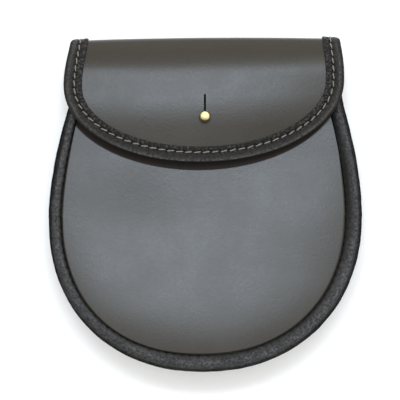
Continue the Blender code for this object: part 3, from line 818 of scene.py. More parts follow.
# %% Front panel
FRONT_ROWS = 110
FRONT_COLUMNS = 97
SEAM_BAND = 0.9 * MM
SEAM_DIP = 0.4 * MM
FRONT_EDGE_ROUNDING = 0.35 * MM
BROAD_RIPPLE = (34.0 * MM, 0.05 * MM)   # how wide and how high it is uneven
FINE_RIPPLE = (11.0 * MM, 0.012 * MM)
FRONT_SWELLS = (                     # x, reach across, top, middle and bottom y, height
    (-44.0 * MM, 28.0 * MM, 27.0 * MM, -14.0 * MM, -70.0 * MM, -0.75 * MM),
    (64.0 * MM, 24.0 * MM, 32.0 * MM, -6.0 * MM, -44.0 * MM, 0.45 * MM),
)
STITCH_PITCH = 5.4 * MM


def ripple(place, size, height):
    """A small unevenness of the leather, this wide and this high."""
    return height * noise.noise(place / size)


def seam_distance(x, y):
    """How far a point of the front is from the seam with the gusset."""
    middle = Vector((0.0, POUCH_WIDEST_Y))
    out = Vector((x, y)) - middle
    angle = math.degrees(math.atan2(out.x, -out.y))
    angle = min(max(angle, -MOUTH_ANGLE), MOUTH_ANGLE)
    edge = inset_outline(angle, gusset_size(angle, "front_roll"))
    return (edge - middle).length - out.length


def front_crown(fraction, y):
    """The front's crown at a fraction across the row from left (-1) to right (+1)."""
    low = (y - POUCH_WIDEST_Y) / (POUCH_LOWER_REACH - gusset_size(0.0, "front_roll"))
    low = min(max(low, -1.0), 0.0)
    spread = math.sqrt(fraction ** 2 * (1.0 - low ** 2) + low ** 2)
    return crown_height(y) * (1.0 - spread ** CROWN_POWER)


def swell(x, y):
    """How far use has pushed the front out or let it sink at a place."""
    total = 0.0
    for middle_x, reach, top_y, middle_y, bottom_y, height in FRONT_SWELLS:
        end_y = top_y if y > middle_y else bottom_y
        along = smooth((end_y - y) / (end_y - middle_y))
        total += height * along * bump_at(x - middle_x, reach)
    return total


def make_front_panel():
    fractions = [math.sin(math.radians(a)) for a in spaced(-90.0, 90.0, FRONT_COLUMNS)]
    outer, inner = [], []
    for angle in spaced(0.0, MOUTH_ANGLE, FRONT_ROWS):
        left = inset_outline(-angle, gusset_size(-angle, "front_roll"))
        right = inset_outline(angle, gusset_size(angle, "front_roll"))
        outer_row, inner_row = [], []
        for fraction in fractions:
            flat = left.lerp(right, 0.5 + 0.5 * fraction)
            level = front_edge_z(flat.y) + front_crown(fraction, flat.y) + swell(*flat)
            dip = SEAM_DIP * (1.0 - smooth(seam_distance(flat.x, flat.y) / SEAM_BAND))
            here = Vector((flat.x, flat.y, 0.0))
            uneven = ripple(here, *BROAD_RIPPLE) + ripple(here, *FINE_RIPPLE)
            outer_row.append(Vector((flat.x, flat.y, level - dip + uneven)))
            inner_row.append(Vector((flat.x, flat.y, level - LEATHER + uneven)))
        outer.append(outer_row)
        inner.append(inner_row)
    piece = new_piece("front_leather", *shell(outer, inner),
                      [front_leather, leather_flesh, leather_edge], "panel_leather", "front_panel")
    round_edges(piece, FRONT_EDGE_ROUNDING)
    return piece


make_front_panel()


# %% [markdown]
# ## The gusset
# One strip of soft leather runs round the sides and the bottom. It is sewn to the front and to
# the back with the right sides together and then turned, so at each seam it rolls outwards, and
# between the rolls the side pinches in. Its section is swept round the outline. The front roll
# is made of two quarters of a superellipse, one on each side of its crest, because it is fuller
# towards the seam on one side of the pouch than on the other. The back roll is half an ellipse,
# and a shallow bow joins them. The turned seam pulls the roll into small puckers, one for each
# hidden stitch, and the soft leather is never quite even. The crests are rubbed; the seams and
# the sides of the rolls that face away from the light get painted shade, painted black. Past
# its crest the front roll gets a shaded copy of the material, more painted shade, and so does
# the side, down to the crest of the back roll.

# %% Gusset
GUSSET_STATIONS = 640
ROLL_POINTS = 24
WALL_POINTS = 12
# the shaded copy of the material, painted shade, covers the section from past the front roll's
# crest to here
SHADED_OUTSIDE_END = 1 + ROLL_POINTS + WALL_POINTS + ROLL_POINTS // 2   # on the back roll's crest
PUCKER = 0.16 * MM
PUCKER_REACH = 60.0                  # degrees round the roll, from the seam
SOFT_RIPPLE = (9.0 * MM, 0.20 * MM)
FINE_SOFT_RIPPLE = (3.2 * MM, 0.09 * MM)
RIPPLE_SQUEEZE = 1.4                 # the ripples are longer along the strip than across it
BACK_RIPPLE_SHARE = 0.3              # the back roll is pressed flat, so it ripples less
# how much of the dye the side keeps, where on the roll the crest's rubbing starts, and the range
# over which the seam side is rubbed; below these the leather is painted black as shade
WALL_WEAR_AND_SHADE = 0.8
CREST_WEAR_AND_SHADE_START = 0.60
SEAM_WEAR_AND_SHADE_RANGE = (0.25, 0.80)


def roll_point(angle, turn):
    """A point of the front roll at a turn from the seam (0) over the crest to the outside
    (180), as shares of its width and rise. A power of 2 makes a quarter of an ellipse on
    that side of the crest; more is flatter on top."""
    crest = gusset_size(angle, "crest")
    power = gusset_size(angle, "seam_power" if turn < 90.0 else "outside_power")
    c, s = cos_sin(turn)
    reach = 1.0 - crest if c > 0 else crest
    share = crest + math.copysign(reach * abs(c) ** (2.0 / power), c)
    return share, max(s, 0.0) ** (2.0 / power)


def wear_and_shade_at(height, start=CREST_WEAR_AND_SHADE_START, full=1.0):
    """How much rubbing a roll shows where it stands this high, as a share of its rise; lower down
    it is painted black as shade.
    """
    return smooth((height - start) / (full - start))


def front_wear_and_shade(angle, turn, height):
    """The same for the front roll, which hands and clothes rub on its seam side too; where that
    side faces away from the light it stays painted black as shade.
    """
    seam_side = wear_and_shade_at(height, *SEAM_WEAR_AND_SHADE_RANGE) if turn < 90.0 else 0.0
    return max(wear_and_shade_at(height), gusset_size(angle, "seam_wear_and_shade") * seam_side)


def gusset_section(angle):
    """The outer line: (distance in from the outline, height, how near to a seam, rubbing and
    painted shade).
    """
    front = gusset_size(angle, "front_roll") - GAP
    back = gusset_size(angle, "back_roll") - GAP
    rise, pinch = gusset_size(angle, "rise"), gusset_size(angle, "pinch")
    seam = front_edge_z(inset_outline(angle, front).y)
    back_rise = BACK_FACE_Z * smooth(back / FULL_BACK_ROLL)
    line = [(front, seam - LEATHER, 1.0, 0.0)]
    for turn in spaced(0.0, 180.0, ROLL_POINTS):
        share, height = roll_point(angle, turn)
        line.append((front * share, seam + rise * height, bump_at(turn, PUCKER_REACH),
                     front_wear_and_shade(angle, turn, height)))
    for t in spaced(0.0, 1.0, WALL_POINTS + 2)[1:-1]:
        line.append((pinch * math.sin(math.pi * t) ** 2, mix(seam, BACK_FACE_Z, t), 0.0,
                     WALL_WEAR_AND_SHADE * math.sin(math.pi * t)))
    for turn in spaced(180.0, 360.0, ROLL_POINTS):
        c, s = cos_sin(turn)
        line.append((0.5 * back * (1.0 + c), BACK_FACE_Z + back_rise * s,
                     bump_at(turn - 360.0, PUCKER_REACH), wear_and_shade_at(-s)))
    line.append((back, BACK_FACE_Z + LEATHER, 1.0, 0.0))
    return line


def sideways(line, i):
    """Unit vector out of the section, square to its line at a point."""
    before, after = line[max(i - 1, 0)], line[min(i + 1, len(line) - 1)]
    along = Vector((after[0] - before[0], after[1] - before[1])).normalized()
    return Vector((along.y, -along.x))


def gusset_ring(line, travelled):
    """The section's outer line, uneven, and its inner line, at a length along the strip."""
    pucker = math.cos(math.tau * travelled / STITCH_PITCH)
    grain, flesh = [], []
    for i, (inset, height, seam, _) in enumerate(line):
        side = sideways(line, i)
        flat = Vector((inset, height))
        spot = Vector((travelled, RIPPLE_SQUEEZE * height, RIPPLE_SQUEEZE * inset))
        lift = ripple(spot, *SOFT_RIPPLE) + ripple(spot, *FINE_SOFT_RIPPLE)
        lift += PUCKER * pucker * seam
        lift *= 1.0 if BACK_FACE_Z < height else BACK_RIPPLE_SHARE
        grain.append(flat + side * lift)
        flesh.append(flat - side * SOFT_LEATHER)
    return grain + flesh[::-2] + ([flesh[0]] if len(flesh) % 2 == 0 else [])


def shaded_outside_start(angle):
    """Number of the section's first point that has the shaded copy of the material, painted shade.
    """
    return 1 + round(gusset_size(angle, "shaded_turn") / 180.0 * (ROLL_POINTS - 1))


def make_gusset():
    angles = spaced(-MOUTH_ANGLE, MOUTH_ANGLE, GUSSET_STATIONS)
    rings, wear_and_shade, travelled, before = [], [], 0.0, pouch_outline(-MOUTH_ANGLE)
    for angle in angles:
        edge, into = pouch_outline(angle), inward(angle)
        travelled += (edge - before).length
        before = edge
        line = gusset_section(angle)
        ring = gusset_ring(line, travelled)
        rings.append([Vector((*(edge + into * p.x), p.y)) for p in ring])
        wear_and_shade += [point[3] for point in line] + [0.0] * (len(ring) - len(line))
    # past the front roll's crest and down the side the gusset gets the shaded copy of its material:
    # painted shade
    dull = [range(shaded_outside_start(angle), SHADED_OUTSIDE_END) for angle in angles]
    flesh_start = len(line) - 1

    def region(i, j):
        if j >= flesh_start:
            return 1
        return 2 if j in dull[i] else 0

    return new_piece("gusset_leather", *swept(rings, region),
                     [gusset_leather, leather_flesh, gusset_shaded_outside],
                     "gusset_leather", "gusset", wear_and_shade=wear_and_shade)


make_gusset()


# %% [markdown]
# ## The back and flap
# The same leather as the front, in one piece from the bottom of the back to the edge of the
# flap. The keyhole is cut through with a Boolean: a round hole for the stud's neck and a slit
# above it that lets the ball through. The cutter carries the edge paint, so the cut faces get
# that material by themselves.

# %% Back and flap
FOLD_DEPTH = 1.15 * MM               # the binding's thickness at its fold
SHEET_COLUMNS = 81
BACK_ROWS = 70
NECK_ROWS = 10
FLAP_ROWS = 170
HIDE_BROAD_RIPPLE = (38.0 * MM, 0.05 * MM)
HIDE_FINE_RIPPLE = (12.0 * MM, 0.012 * MM)
HIDE_PLACE = 40.0 * MM               # where in the noise, so that it differs from the front
STUD_X = -0.2 * MM
STUD_Y = 52.6 * MM
KEYHOLE_DIAMETER = 5.4 * MM
SLIT_WIDTH = 1.2 * MM
SLIT_LENGTH = 13.4 * MM
KEYHOLE_POINTS = 40
SLIT_TIP_POINTS = 9
CUTTER_REACH = 6.0 * MM              # to either side of the leather's middle


def sheet_edges():
    """Left and right edge points of the leather on the flat, row by row."""
    rows = []
    for angle in spaced(0.0, MOUTH_ANGLE, BACK_ROWS):
        rows.append([inset_outline(side * angle, gusset_size(side * angle, "back_roll"))
                     for side in (-1.0, 1.0)])
    edge = FOLD_DEPTH + GAP
    left, right = rows[-1]
    half = BEND_HALF_WIDTH - edge
    for y in spaced(left.y, SHOULDER_Y, NECK_ROWS)[1:]:
        t = smooth((y - left.y) / (SHOULDER_Y - left.y))
        rows.append([Vector((mix(left.x, -half, t), y)), Vector((mix(right.x, half, t), y))])
    for u in spaced(0.0, 2.0, FLAP_ROWS):
        rows.append([flap_inset(u, edge), flap_inset(4.0 - u, edge)])
    return rows


def front_face_z():
    """Height of the front's outer face under the stud."""
    return front_edge_z(STUD_Y) + crown_height(STUD_Y)


def keyhole_place():
    """Where the stud, square to the front, meets the flap's middle layer."""
    flap_z = sheet_place(length_at(STUD_Y))[1]
    return Vector((STUD_X, STUD_Y + front_slope(STUD_Y) * (flap_z - front_face_z()), flap_z))


def cut_keyhole(sheet):
    """Cut a round hole with a slit above it, both square to the front."""
    radius, half_slit = KEYHOLE_DIAMETER / 2, SLIT_WIDTH / 2
    start = math.degrees(math.acos(half_slit / radius))
    outline = arc(radius, start, -180.0 - start, KEYHOLE_POINTS)
    tip = arc(half_slit, 180.0, 0.0, SLIT_TIP_POINTS)
    outline += [(x, SLIT_LENGTH - half_slit + y) for x, y in tip]
    middle = keyhole_place()
    rings = [[middle + Vector((x, y, z)) for x, y in outline]
             for z in (-CUTTER_REACH, CUTTER_REACH)]
    cutter_mesh = new_mesh("keyhole cutter", *swept(rings), [leather_edge])
    cutter = new_object("keyhole cutter", cutter_mesh)
    cut = sheet.modifiers.new("keyhole", "BOOLEAN")
    cut.object = cutter
    cut.solver = "EXACT"
    cut.material_mode = "TRANSFER"
    shown = sheet.evaluated_get(bpy.context.evaluated_depsgraph_get())
    cut_mesh = bpy.data.meshes.new_from_object(shown)
    sheet.modifiers.clear()
    sheet.data = cut_mesh
    bpy.data.objects.remove(cutter)
    print("keyhole cut:", len(cut_mesh.polygons), "faces")


def make_back_and_flap():
    outer, inner = [], []
    for left, right in sheet_edges():
        row = [left.lerp(right, f) for f in spaced(0.0, 1.0, SHEET_COLUMNS)]
        outer_row, inner_row = [], []
        for p in row:
            here = Vector((p.x, p.y, HIDE_PLACE))
            uneven = ripple(here, *HIDE_BROAD_RIPPLE) + ripple(here, *HIDE_FINE_RIPPLE)
            outer_row.append(sheet_point(p.x, p.y, 0.5 * LEATHER + uneven))
            inner_row.append(sheet_point(p.x, p.y, -0.5 * LEATHER + uneven))
        outer.append(outer_row)
        inner.append(inner_row)
    sheet = new_piece("back_and_flap_leather", *shell(outer, inner),
                      [flap_leather, leather_flesh, leather_edge], "flap_leather",
                      "back_and_flap")
    cut_keyhole(sheet)
    return sheet


make_back_and_flap()


# %% [markdown]
# ## The binding
# A strip of soft leather is folded over the flap's edge and sewn through. It shows five things:
# a free inner edge one leather thick, a furrow that the stitches pull down, small creases where
# it is gathered by the stitches, a bead along the fold where the leather is fuller, and a pit
# at each stitch hole. The seam was sewn a little tighter at the sides. Its section is a height
# for each distance in from the edge. It is swept round the flap's edge on the flat and then
# carried into place with the flap, so it bends over the top as the real strip does.

# %% Stitch line
BINDING_WIDTH_BEND = 10.7 * MM
BINDING_WIDTH_SIDE = 11.3 * MM
BINDING_WIDTH_BOTTOM = 9.8 * MM
BINDING_WIDTH_INSIDE = 9.0 * MM
STITCH_FROM_INNER_EDGE_SIDE = 4.7 * MM
STITCH_FROM_INNER_EDGE_BOTTOM = 3.4 * MM
SIDE_STITCH_PITCH = 4.8 * MM
LINE_STEPS = 2400                    # in which the stitch line is measured


def toward_the_bottom(u):
    """0 along the flap's sides and 1 at its bottom."""
    return math.sin(min(max(u - 1.0, 0.0), 2.0) * math.pi / 2)


def binding_width(u):
    """Width of the strip on the flap's outside."""
    upper = mix(BINDING_WIDTH_BEND, BINDING_WIDTH_SIDE, smooth(min(u, 4.0 - u)))
    return mix(upper, BINDING_WIDTH_BOTTOM, toward_the_bottom(u))


def stitch_inset(u):
    """How far in from the flap's edge the stitches are."""
    from_inner_edge = mix(STITCH_FROM_INNER_EDGE_SIDE, STITCH_FROM_INNER_EDGE_BOTTOM,
                          toward_the_bottom(u))
    return binding_width(u) - from_inner_edge


def on_stitch_line(u):
    """The place of a stitch on the flat."""
    return flap_inset(u, stitch_inset(u))


def stitch_pitch(u):
    """Distance from stitch to stitch, which is less where the seam was sewn tighter."""
    return mix(SIDE_STITCH_PITCH, STITCH_PITCH, toward_the_bottom(u))


def measured_line():
    """The stitch line on the flat, as (u, stitches so far), from end to end."""
    line, sewn, before = [], 0.0, None
    for u in spaced(0.0, 4.0, LINE_STEPS):
        here = on_stitch_line(u)
        sewn += (here - before).length / stitch_pitch(u) if before else 0.0
        line.append((u, sewn))
        before = here
    return line


STITCH_LINE = measured_line()
SEAM_IN_STITCHES = STITCH_LINE[-1][1]
STITCH_COUNT = int(SEAM_IN_STITCHES)
FIRST_STITCH = 0.5 * (SEAM_IN_STITCHES - (STITCH_COUNT - 1))


def u_at(sewn):
    """Place on the flap's edge with this many stitches before it."""
    low, high = 0, len(STITCH_LINE) - 1
    while high - low > 1:
        middle = (low + high) // 2
        if STITCH_LINE[middle][1] < sewn:
            low = middle
        else:
            high = middle
    (u0, n0), (u1, n1) = STITCH_LINE[low], STITCH_LINE[high]
    return mix(u0, u1, (sewn - n0) / (n1 - n0))


print("stitches round the flap:", STITCH_COUNT)

# %% Section of the binding
BEAD_INSET = 1.10 * MM
BEAD_HEIGHT = 2.55 * MM              # like the other heights, above the middle layer of the flap
BEAD_POWER = 3.2                     # more makes the slope from the bead to the furrow hollower
SIDE_BEAD_INSET = 2.8 * MM
BEND_BEAD_INSET = 4.2 * MM
BEND_BEAD_HEIGHT = 2.30 * MM
BEND_STRETCH = 13.0 * MM
FURROW_HEIGHT = 2.00 * MM
FURROW_SIZE = 1.0 * MM
STITCH_SINK = 0.20 * MM              # how far the stitches pull the furrow down
LIP_HEIGHT = 2.25 * MM
LIP_RISE = 1.8 * MM                  # the lip is at its full height this far from the stitches
LIP_EDGE = 0.5 * MM                  # and turns down over this last stretch
LIP_TURN_DOWN = 0.35 * MM
HOLE_SIZE = 0.80 * MM
HOLE_DEPTH = 1.20 * MM
HOLE_BAND = 1.2 * MM                 # to either side of the stitches the strip is drawn finely
SECTION_POINTS = {"bead": 9, "slope": 7, "holes": 9, "lip": 6, "edge": 4}   # both ends counted


def bead_inset(u):
    """Where the bead's top is. Over the bend the strip is stretched, so its edge is rounder."""
    s = flap_outline(u).y
    plain = mix(SIDE_BEAD_INSET, BEAD_INSET, toward_the_bottom(u))
    return mix(plain, BEND_BEAD_INSET, bump_at(s - TOP_S, BEND_STRETCH))


def strip_height(inset, width, line, bead):
    """Height of the strip's outside over the flap's middle layer."""
    high = mix(BEAD_HEIGHT, BEND_BEAD_HEIGHT, (bead - BEAD_INSET) / (BEND_BEAD_INSET - BEAD_INSET))
    if inset <= bead:
        return high * math.sqrt(max(0.0, 1.0 - (1.0 - inset / bead) ** 2))
    if inset <= line:
        return mix(FURROW_HEIGHT, high, ((line - inset) / (line - bead)) ** BEAD_POWER)
    height = mix(FURROW_HEIGHT, LIP_HEIGHT, smooth((inset - line) / LIP_RISE))
    turned_down = max(0.0, inset - (width - LIP_EDGE)) / LIP_EDGE
    return height - LIP_TURN_DOWN * turned_down ** 2


def strip_insets(width, line, bead):
    """Distances in from the edge at which the strip is drawn: close by the bead and holes."""
    insets = [bead * (1.0 - cos_sin(turn)[0])
              for turn in spaced(0.0, 90.0, SECTION_POINTS["bead"])]
    stops = {"slope": (bead, line - HOLE_BAND), "holes": (line - HOLE_BAND, line + HOLE_BAND),
             "lip": (line + HOLE_BAND, width - LIP_EDGE), "edge": (width - LIP_EDGE, width)}
    for part, (start, stop) in stops.items():
        insets += spaced(start, stop, SECTION_POINTS[part])[1:]
    return insets


print("the bead stands", round(1000 * (BEAD_HEIGHT - FURROW_HEIGHT), 2), "mm above the furrow")

# %% Creases, rubbing and painted shade of the binding
GATHER_REACH = 1.8 * MM              # the creases reach this far from the stitches to the bead
FOLD_HEIGHT = 0.36 * MM
FOLD_LENGTH = 1.3 * MM
FOLD_WIDTH = 1.5 * MM
WRINKLE = (8.0 * MM, 0.10 * MM)
FINE_WRINKLE = (2.2 * MM, 0.06 * MM)
WRINKLE_SQUEEZE = 1.6                # the wrinkles are longer along the strip than across it
WRINKLE_PLACE = 30.0 * MM            # where in the noise, so that both sides differ
# rubbing and painted shade of the strip: the bead's top and the creases' crests keep the dye, while
# the bead's nose, the furrow, the creases' feet and a ring round each hole are painted black as
# shade
BEAD_WEAR_AND_SHADE_START = 0.3                # shares of the bead's width, in from the edge
BEAD_WEAR_AND_SHADE_LENGTH = 0.5
SLOPE_WEAR_AND_SHADE_POWER = 4.0               # more makes the wear end sooner on the slope
FURROW_WEAR_AND_SHADE = 0.18
FOLD_WEAR_AND_SHADE = 2.2                      # how much more a crease's crest is rubbed than its foot
HOLE_SHADE = 1.2                     # in hole sizes: how far round a hole the dye stays black


def strip_folds(length, inset, line, side):
    """Small creases of the gathered leather, by the stitches and on the free inner edge."""
    gathered = smooth((inset - line + GATHER_REACH) / GATHER_REACH)
    return gathered * noise.noise(Vector((length / FOLD_LENGTH, inset / FOLD_WIDTH, side)))


def strip_wrinkle(length, inset, side):
    """Unevenness of the soft leather that isn't gathered."""
    spot = Vector((length, WRINKLE_SQUEEZE * inset, WRINKLE_PLACE * side))
    return ripple(spot, *FINE_WRINKLE) + ripple(spot, *WRINKLE)


def strip_wear_and_shade(inset, bead, line, to_hole, fold):
    """The bead's top and the crests of the creases keep the leather's dye, as rubbing leaves it;
    the bead's nose, the furrow, the lip, the creases' feet and the holes are painted black as
    shade.
    """
    if inset < bead:
        return smooth((inset / bead - BEAD_WEAR_AND_SHADE_START) / BEAD_WEAR_AND_SHADE_LENGTH)
    slope = max(0.0, (line - inset) / (line - bead)) ** SLOPE_WEAR_AND_SHADE_POWER
    wear_and_shade = min(max(mix(FURROW_WEAR_AND_SHADE, 1.0, slope) + FOLD_WEAR_AND_SHADE * fold, 0.0), 1.0)
    return wear_and_shade * (1.0 - bump_at(math.hypot(inset - line, to_hole), HOLE_SHADE * HOLE_SIZE))


print("creases up to", round(1000 * FOLD_HEIGHT, 2), "mm high")

# %% Binding
BINDING_STEP = 0.38 * MM
LINING_GAP = 0.1 * MM                # between the strip's inside and the flap
INSIDE_FOLD = 3.0 * MM               # how near the fold the strip's inside is drawn
CUT_SLANT = 0.05 * MM                # the strip is cut a little slanting


def to_nearest_hole(sewn, u):
    """Distance along the seam to the nearest hole; there is one between two stitches."""
    stitches = sewn - FIRST_STITCH - 0.5
    return abs(stitches - round(stitches)) * stitch_pitch(u)


def half_strip(sewn, side, width):
    """One side of the folded strip, outwards from its fold, as (inset, height, rubbing and painted
    shade).
    """
    u, length = u_at(sewn), sewn * STITCH_PITCH
    line, bead = stitch_inset(u), bead_inset(u)
    to_hole = to_nearest_hole(sewn, u)
    half = []
    for inset in strip_insets(width, min(line, width - 2 * HOLE_BAND), bead):
        height = strip_height(inset, width, line, bead)
        off_line = inset - line
        height -= STITCH_SINK * bump_at(off_line, FURROW_SIZE)
        height -= HOLE_DEPTH * bump_at(math.hypot(off_line, to_hole), HOLE_SIZE)
        fold = strip_folds(length, inset, line, side)
        height += strip_wrinkle(length, inset, side) * smooth(inset / BEAD_INSET)
        height += FOLD_HEIGHT * fold
        half.append((inset, side * height, strip_wear_and_shade(inset, bead, line, to_hole, fold)))
    inside = side * (0.5 * LEATHER + LINING_GAP)
    return half + [(width - CUT_SLANT, inside, 0.0), (INSIDE_FOLD, inside, 0.0)]


def make_binding():
    count = int(SEAM_IN_STITCHES * STITCH_PITCH / BINDING_STEP)
    rings, wear_and_shade = [], []
    for sewn in spaced(0.0, SEAM_IN_STITCHES, count):
        u = u_at(sewn)
        front = half_strip(sewn, 1.0, binding_width(u))
        back = half_strip(sewn, -1.0, BINDING_WIDTH_INSIDE)
        closed = front[::-1] + back[1:]
        rings.append([sheet_point(*flap_inset(u, inset), rise) for inset, rise, _ in closed])
        wear_and_shade += [rubbed_and_shaded for _, _, rubbed_and_shaded in closed]
    return new_piece("binding_strip", *swept(rings), [binding_leather], "binding_leather",
                     "flap_binding", sharp=60.0, wear_and_shade=wear_and_shade)


make_binding()


# %% [markdown]
# ## The stitches
# Each stitch is a short length of two-ply thread. It comes up out of one hole, lies on the
# leather for four fifths of the way and goes down the next one. The twist is made in the
# section: two lobes that turn as they go along. Sewn by hand with two needles, every stitch
# lies a little askew to the line, all the same way, and no two are quite alike. A texture of
# dashes would look flat from the side, so they are modelled.

# %% Stitches
THREAD_RADIUS = 0.44 * MM
STITCH_SHARE = 0.80                  # of the pitch; the rest of the thread is in the holes
STITCH_SLANT = math.radians(9.0)
SLANT_VARIES = (1.2, 3.1)            # by what share, and how fast it goes through the noise
LENGTH_VARIES = (0.16, 2.7)
THREAD_BED = 0.20 * MM               # the bed of the thread is this deep in the furrow
THREAD_LIFT = 0.55                   # thread radii from that bed up to the thread's middle
DIVE_START = 0.72                    # from this share of half a stitch it goes down the hole
DIVE_DEPTH = 1.0 * MM
PLY_TURNS = 3.0
PLY_MEAN = 0.86                      # thread radii from its middle to its surface, on average
PLY_LOBE = 0.16                      # and how much more that is on the two lobes
STITCH_STEPS = 15
STITCH_SIDES = 10


def stitch_course(t, length):
    """Distance along a stitch and its height, as t goes from -1 at one end to 1."""
    down = smooth((abs(t) - DIVE_START) / (1.0 - DIVE_START))
    return 0.5 * length * t, -DIVE_DEPTH * down


def thread_rings(place, along, across, up, length):
    """Rings of a two-ply stitch whose middle is at a place."""
    rings = []
    for t in spaced(-1.0, 1.0, STITCH_STEPS):
        distance, height = stitch_course(t, length)
        middle = place + along * distance + up * (height + THREAD_LIFT * THREAD_RADIUS)
        twist = PLY_TURNS * math.pi * t
        ring = []
        for k in range(STITCH_SIDES):
            turn = math.tau * k / STITCH_SIDES
            radius = THREAD_RADIUS * (PLY_MEAN + PLY_LOBE * math.cos(2.0 * (turn - twist)))
            ring.append(middle + (across * math.cos(turn) + up * math.sin(turn)) * radius)
        rings.append(ring)
    return rings


def join(parts):
    """Put several meshes, each as points, faces and regions, together as one."""
    points, faces, regions = [], [], []
    for new_points, new_faces, new_regions in parts:
        start = len(points)
        points += new_points
        faces += [tuple(start + i for i in face) for face in new_faces]
        regions += new_regions
    return points, faces, regions


def varied(i, most, pace, axis):
    """About 1, a little different for each stitch."""
    spot = Vector((0.0, 0.0, 0.0))
    spot[axis] = pace * i
    return 1.0 + most * noise.noise(spot)


def make_flap_stitches():
    parts = []
    for i in range(STITCH_COUNT):
        u = u_at(FIRST_STITCH + i)
        length = STITCH_SHARE * stitch_pitch(u) * varied(i, *LENGTH_VARIES, axis=0)
        slant = STITCH_SLANT * varied(i, *SLANT_VARIES, axis=1)
        flat = on_stitch_line(u)
        course = (on_stitch_line(ahead_of(u)) - on_stitch_line(behind(u))).normalized()
        course.rotate(Matrix.Rotation(-slant, 2))
        for side in (1.0, -1.0):
            rise = side * (FURROW_HEIGHT - THREAD_BED)
            place = sheet_point(flat.x, flat.y, rise)
            tip = sheet_point(flat.x + course.x * MM, flat.y + course.y * MM, rise)
            up = (sheet_point(flat.x, flat.y, rise + side * MM) - place).normalized()
            along = (tip - place).normalized()
            across = up.cross(along).normalized()
            parts.append(swept(thread_rings(place, along, across, up, length)))
    return new_piece("flap_stitches", *join(parts), [thread], "binding_leather")


make_flap_stitches()


# %% [markdown]
# ## The stud and its screw
# A ball stud is turned from brass rod: a ball, a thin neck and a flange that sits on the front.
# A screw from inside holds it. Both are a profile turned about its own axis, as on a lathe. A
# Screw modifier could do that too, but here the faces are written out, as for the leathers.
# The screw's head is hidden inside the pouch, so it stays a plain low dome.

# %% Stud and screw
BALL_DIAMETER = 6.9 * MM
NECK_DIAMETER = 3.4 * MM
FLANGE_DIAMETER = 8.4 * MM
FLANGE_HEIGHT = 1.2 * MM
COLLAR_DIAMETER = 5.0 * MM
COLLAR_HEIGHT = 2.2 * MM
NECK_LENGTH = 6.9 * MM
STUD_LEAN = math.radians(3.5)       # the flap's weight pulls it down a little
EDGE_BREAK = 0.2 * MM               # the tool takes this much off a sharp edge
COLLAR_FILLET = 0.6 * MM
FLANGE_RIM = 0.6                    # share of its height that the flange's rim stands upright
FLANGE_TOP = 0.8                    # share of its width that the flange is flat
SCREW_HEAD_DIAMETER = 9.0 * MM
SCREW_HEAD_HEIGHT = 1.1 * MM
DOME_TOP = 0.72                     # share of the screw head's width that is nearly flat
DOME_EDGE = 0.35                    # share of its height at its edge
DOME_TURN = 80.0                    # degrees from the edge to the flat top
FILLET_POINTS = 7
BALL_POINTS = 34
DOME_POINTS = 8
TURNED_SIDES = 64


def turned_piece(name, profile, material, slot, replaces, out, lean_down=0.0):
    """Turn a profile of (radius, height) and stand it on the front, square to its slope."""
    tilt = Matrix.Rotation(lean_down - math.atan(front_slope(STUD_Y)), 4, "X")
    foot = Vector((STUD_X, STUD_Y, front_face_z()))
    place = Matrix.Translation(foot + tilt @ Vector((0.0, 0.0, out))) @ tilt
    rings = []
    for i in range(TURNED_SIDES):
        spin = Matrix.Rotation(math.tau * i / TURNED_SIDES, 4, "Z")
        rings.append([place @ spin @ Vector((radius, 0.0, height)) for radius, height in profile])
    count = len(profile)
    points = [p for ring in rings for p in ring]
    faces = []
    for i in range(TURNED_SIDES):
        k = (i + 1) % TURNED_SIDES
        for j in range(count - 1):
            faces.append((i * count + j, i * count + j + 1, k * count + j + 1, k * count + j))
    return new_piece(name, points, faces, [0] * len(faces), [material], slot, replaces)


def make_stud():
    neck, ball = NECK_DIAMETER / 2, BALL_DIAMETER / 2
    flange, collar = FLANGE_DIAMETER / 2, COLLAR_DIAMETER / 2
    shoulder = FLANGE_HEIGHT + COLLAR_HEIGHT
    profile = [(0.0, -LEATHER / 2), (neck, -LEATHER / 2), (neck, 0.0)]
    profile += [(flange - EDGE_BREAK, 0.0), (flange, EDGE_BREAK)]
    profile += [(flange, FLANGE_RIM * FLANGE_HEIGHT), (FLANGE_TOP * flange, FLANGE_HEIGHT)]
    profile += [(collar, FLANGE_HEIGHT), (collar, shoulder - EDGE_BREAK)]
    for c, s in map(cos_sin, spaced(0.0, 90.0, FILLET_POINTS)):
        radius = mix(neck, collar - EDGE_BREAK, 1.0 - s)
        profile.append((radius, shoulder + COLLAR_FILLET * (1.0 - c)))
    middle = shoulder + NECK_LENGTH + ball
    start = math.degrees(math.asin(neck / ball))
    for c, s in map(cos_sin, spaced(start, 180.0, BALL_POINTS)):
        profile.append((max(ball * s, 0.0), middle - ball * c))
    turned_piece("ball_stud", profile, stud_brass, "stud_brass", "button_stud", GAP,
                 STUD_LEAN)


def make_screw():
    shank, head = NECK_DIAMETER / 2, SCREW_HEAD_DIAMETER / 2
    profile = [(0.0, LEATHER / 2 - GAP), (shank, LEATHER / 2 - GAP), (shank, 0.0), (head, 0.0)]
    for c, s in map(cos_sin, spaced(0.0, DOME_TURN, DOME_POINTS)):
        profile.append((head * mix(DOME_TOP, 1.0, c), -SCREW_HEAD_HEIGHT * mix(DOME_EDGE, 1.0, s)))
    profile.append((0.0, -SCREW_HEAD_HEIGHT))
    turned_piece("stud_screw_head", profile, screw_brass, "screw_brass", "stud_screw",
                 -LEATHER - GAP)


make_stud()
make_screw()


# %% [markdown]
# ## The belt keeper
# The belt passes behind a plain leather band on the back. Its two long edges are sewn flat, and
# the leather rises between them. It gets the same thread as the flap.

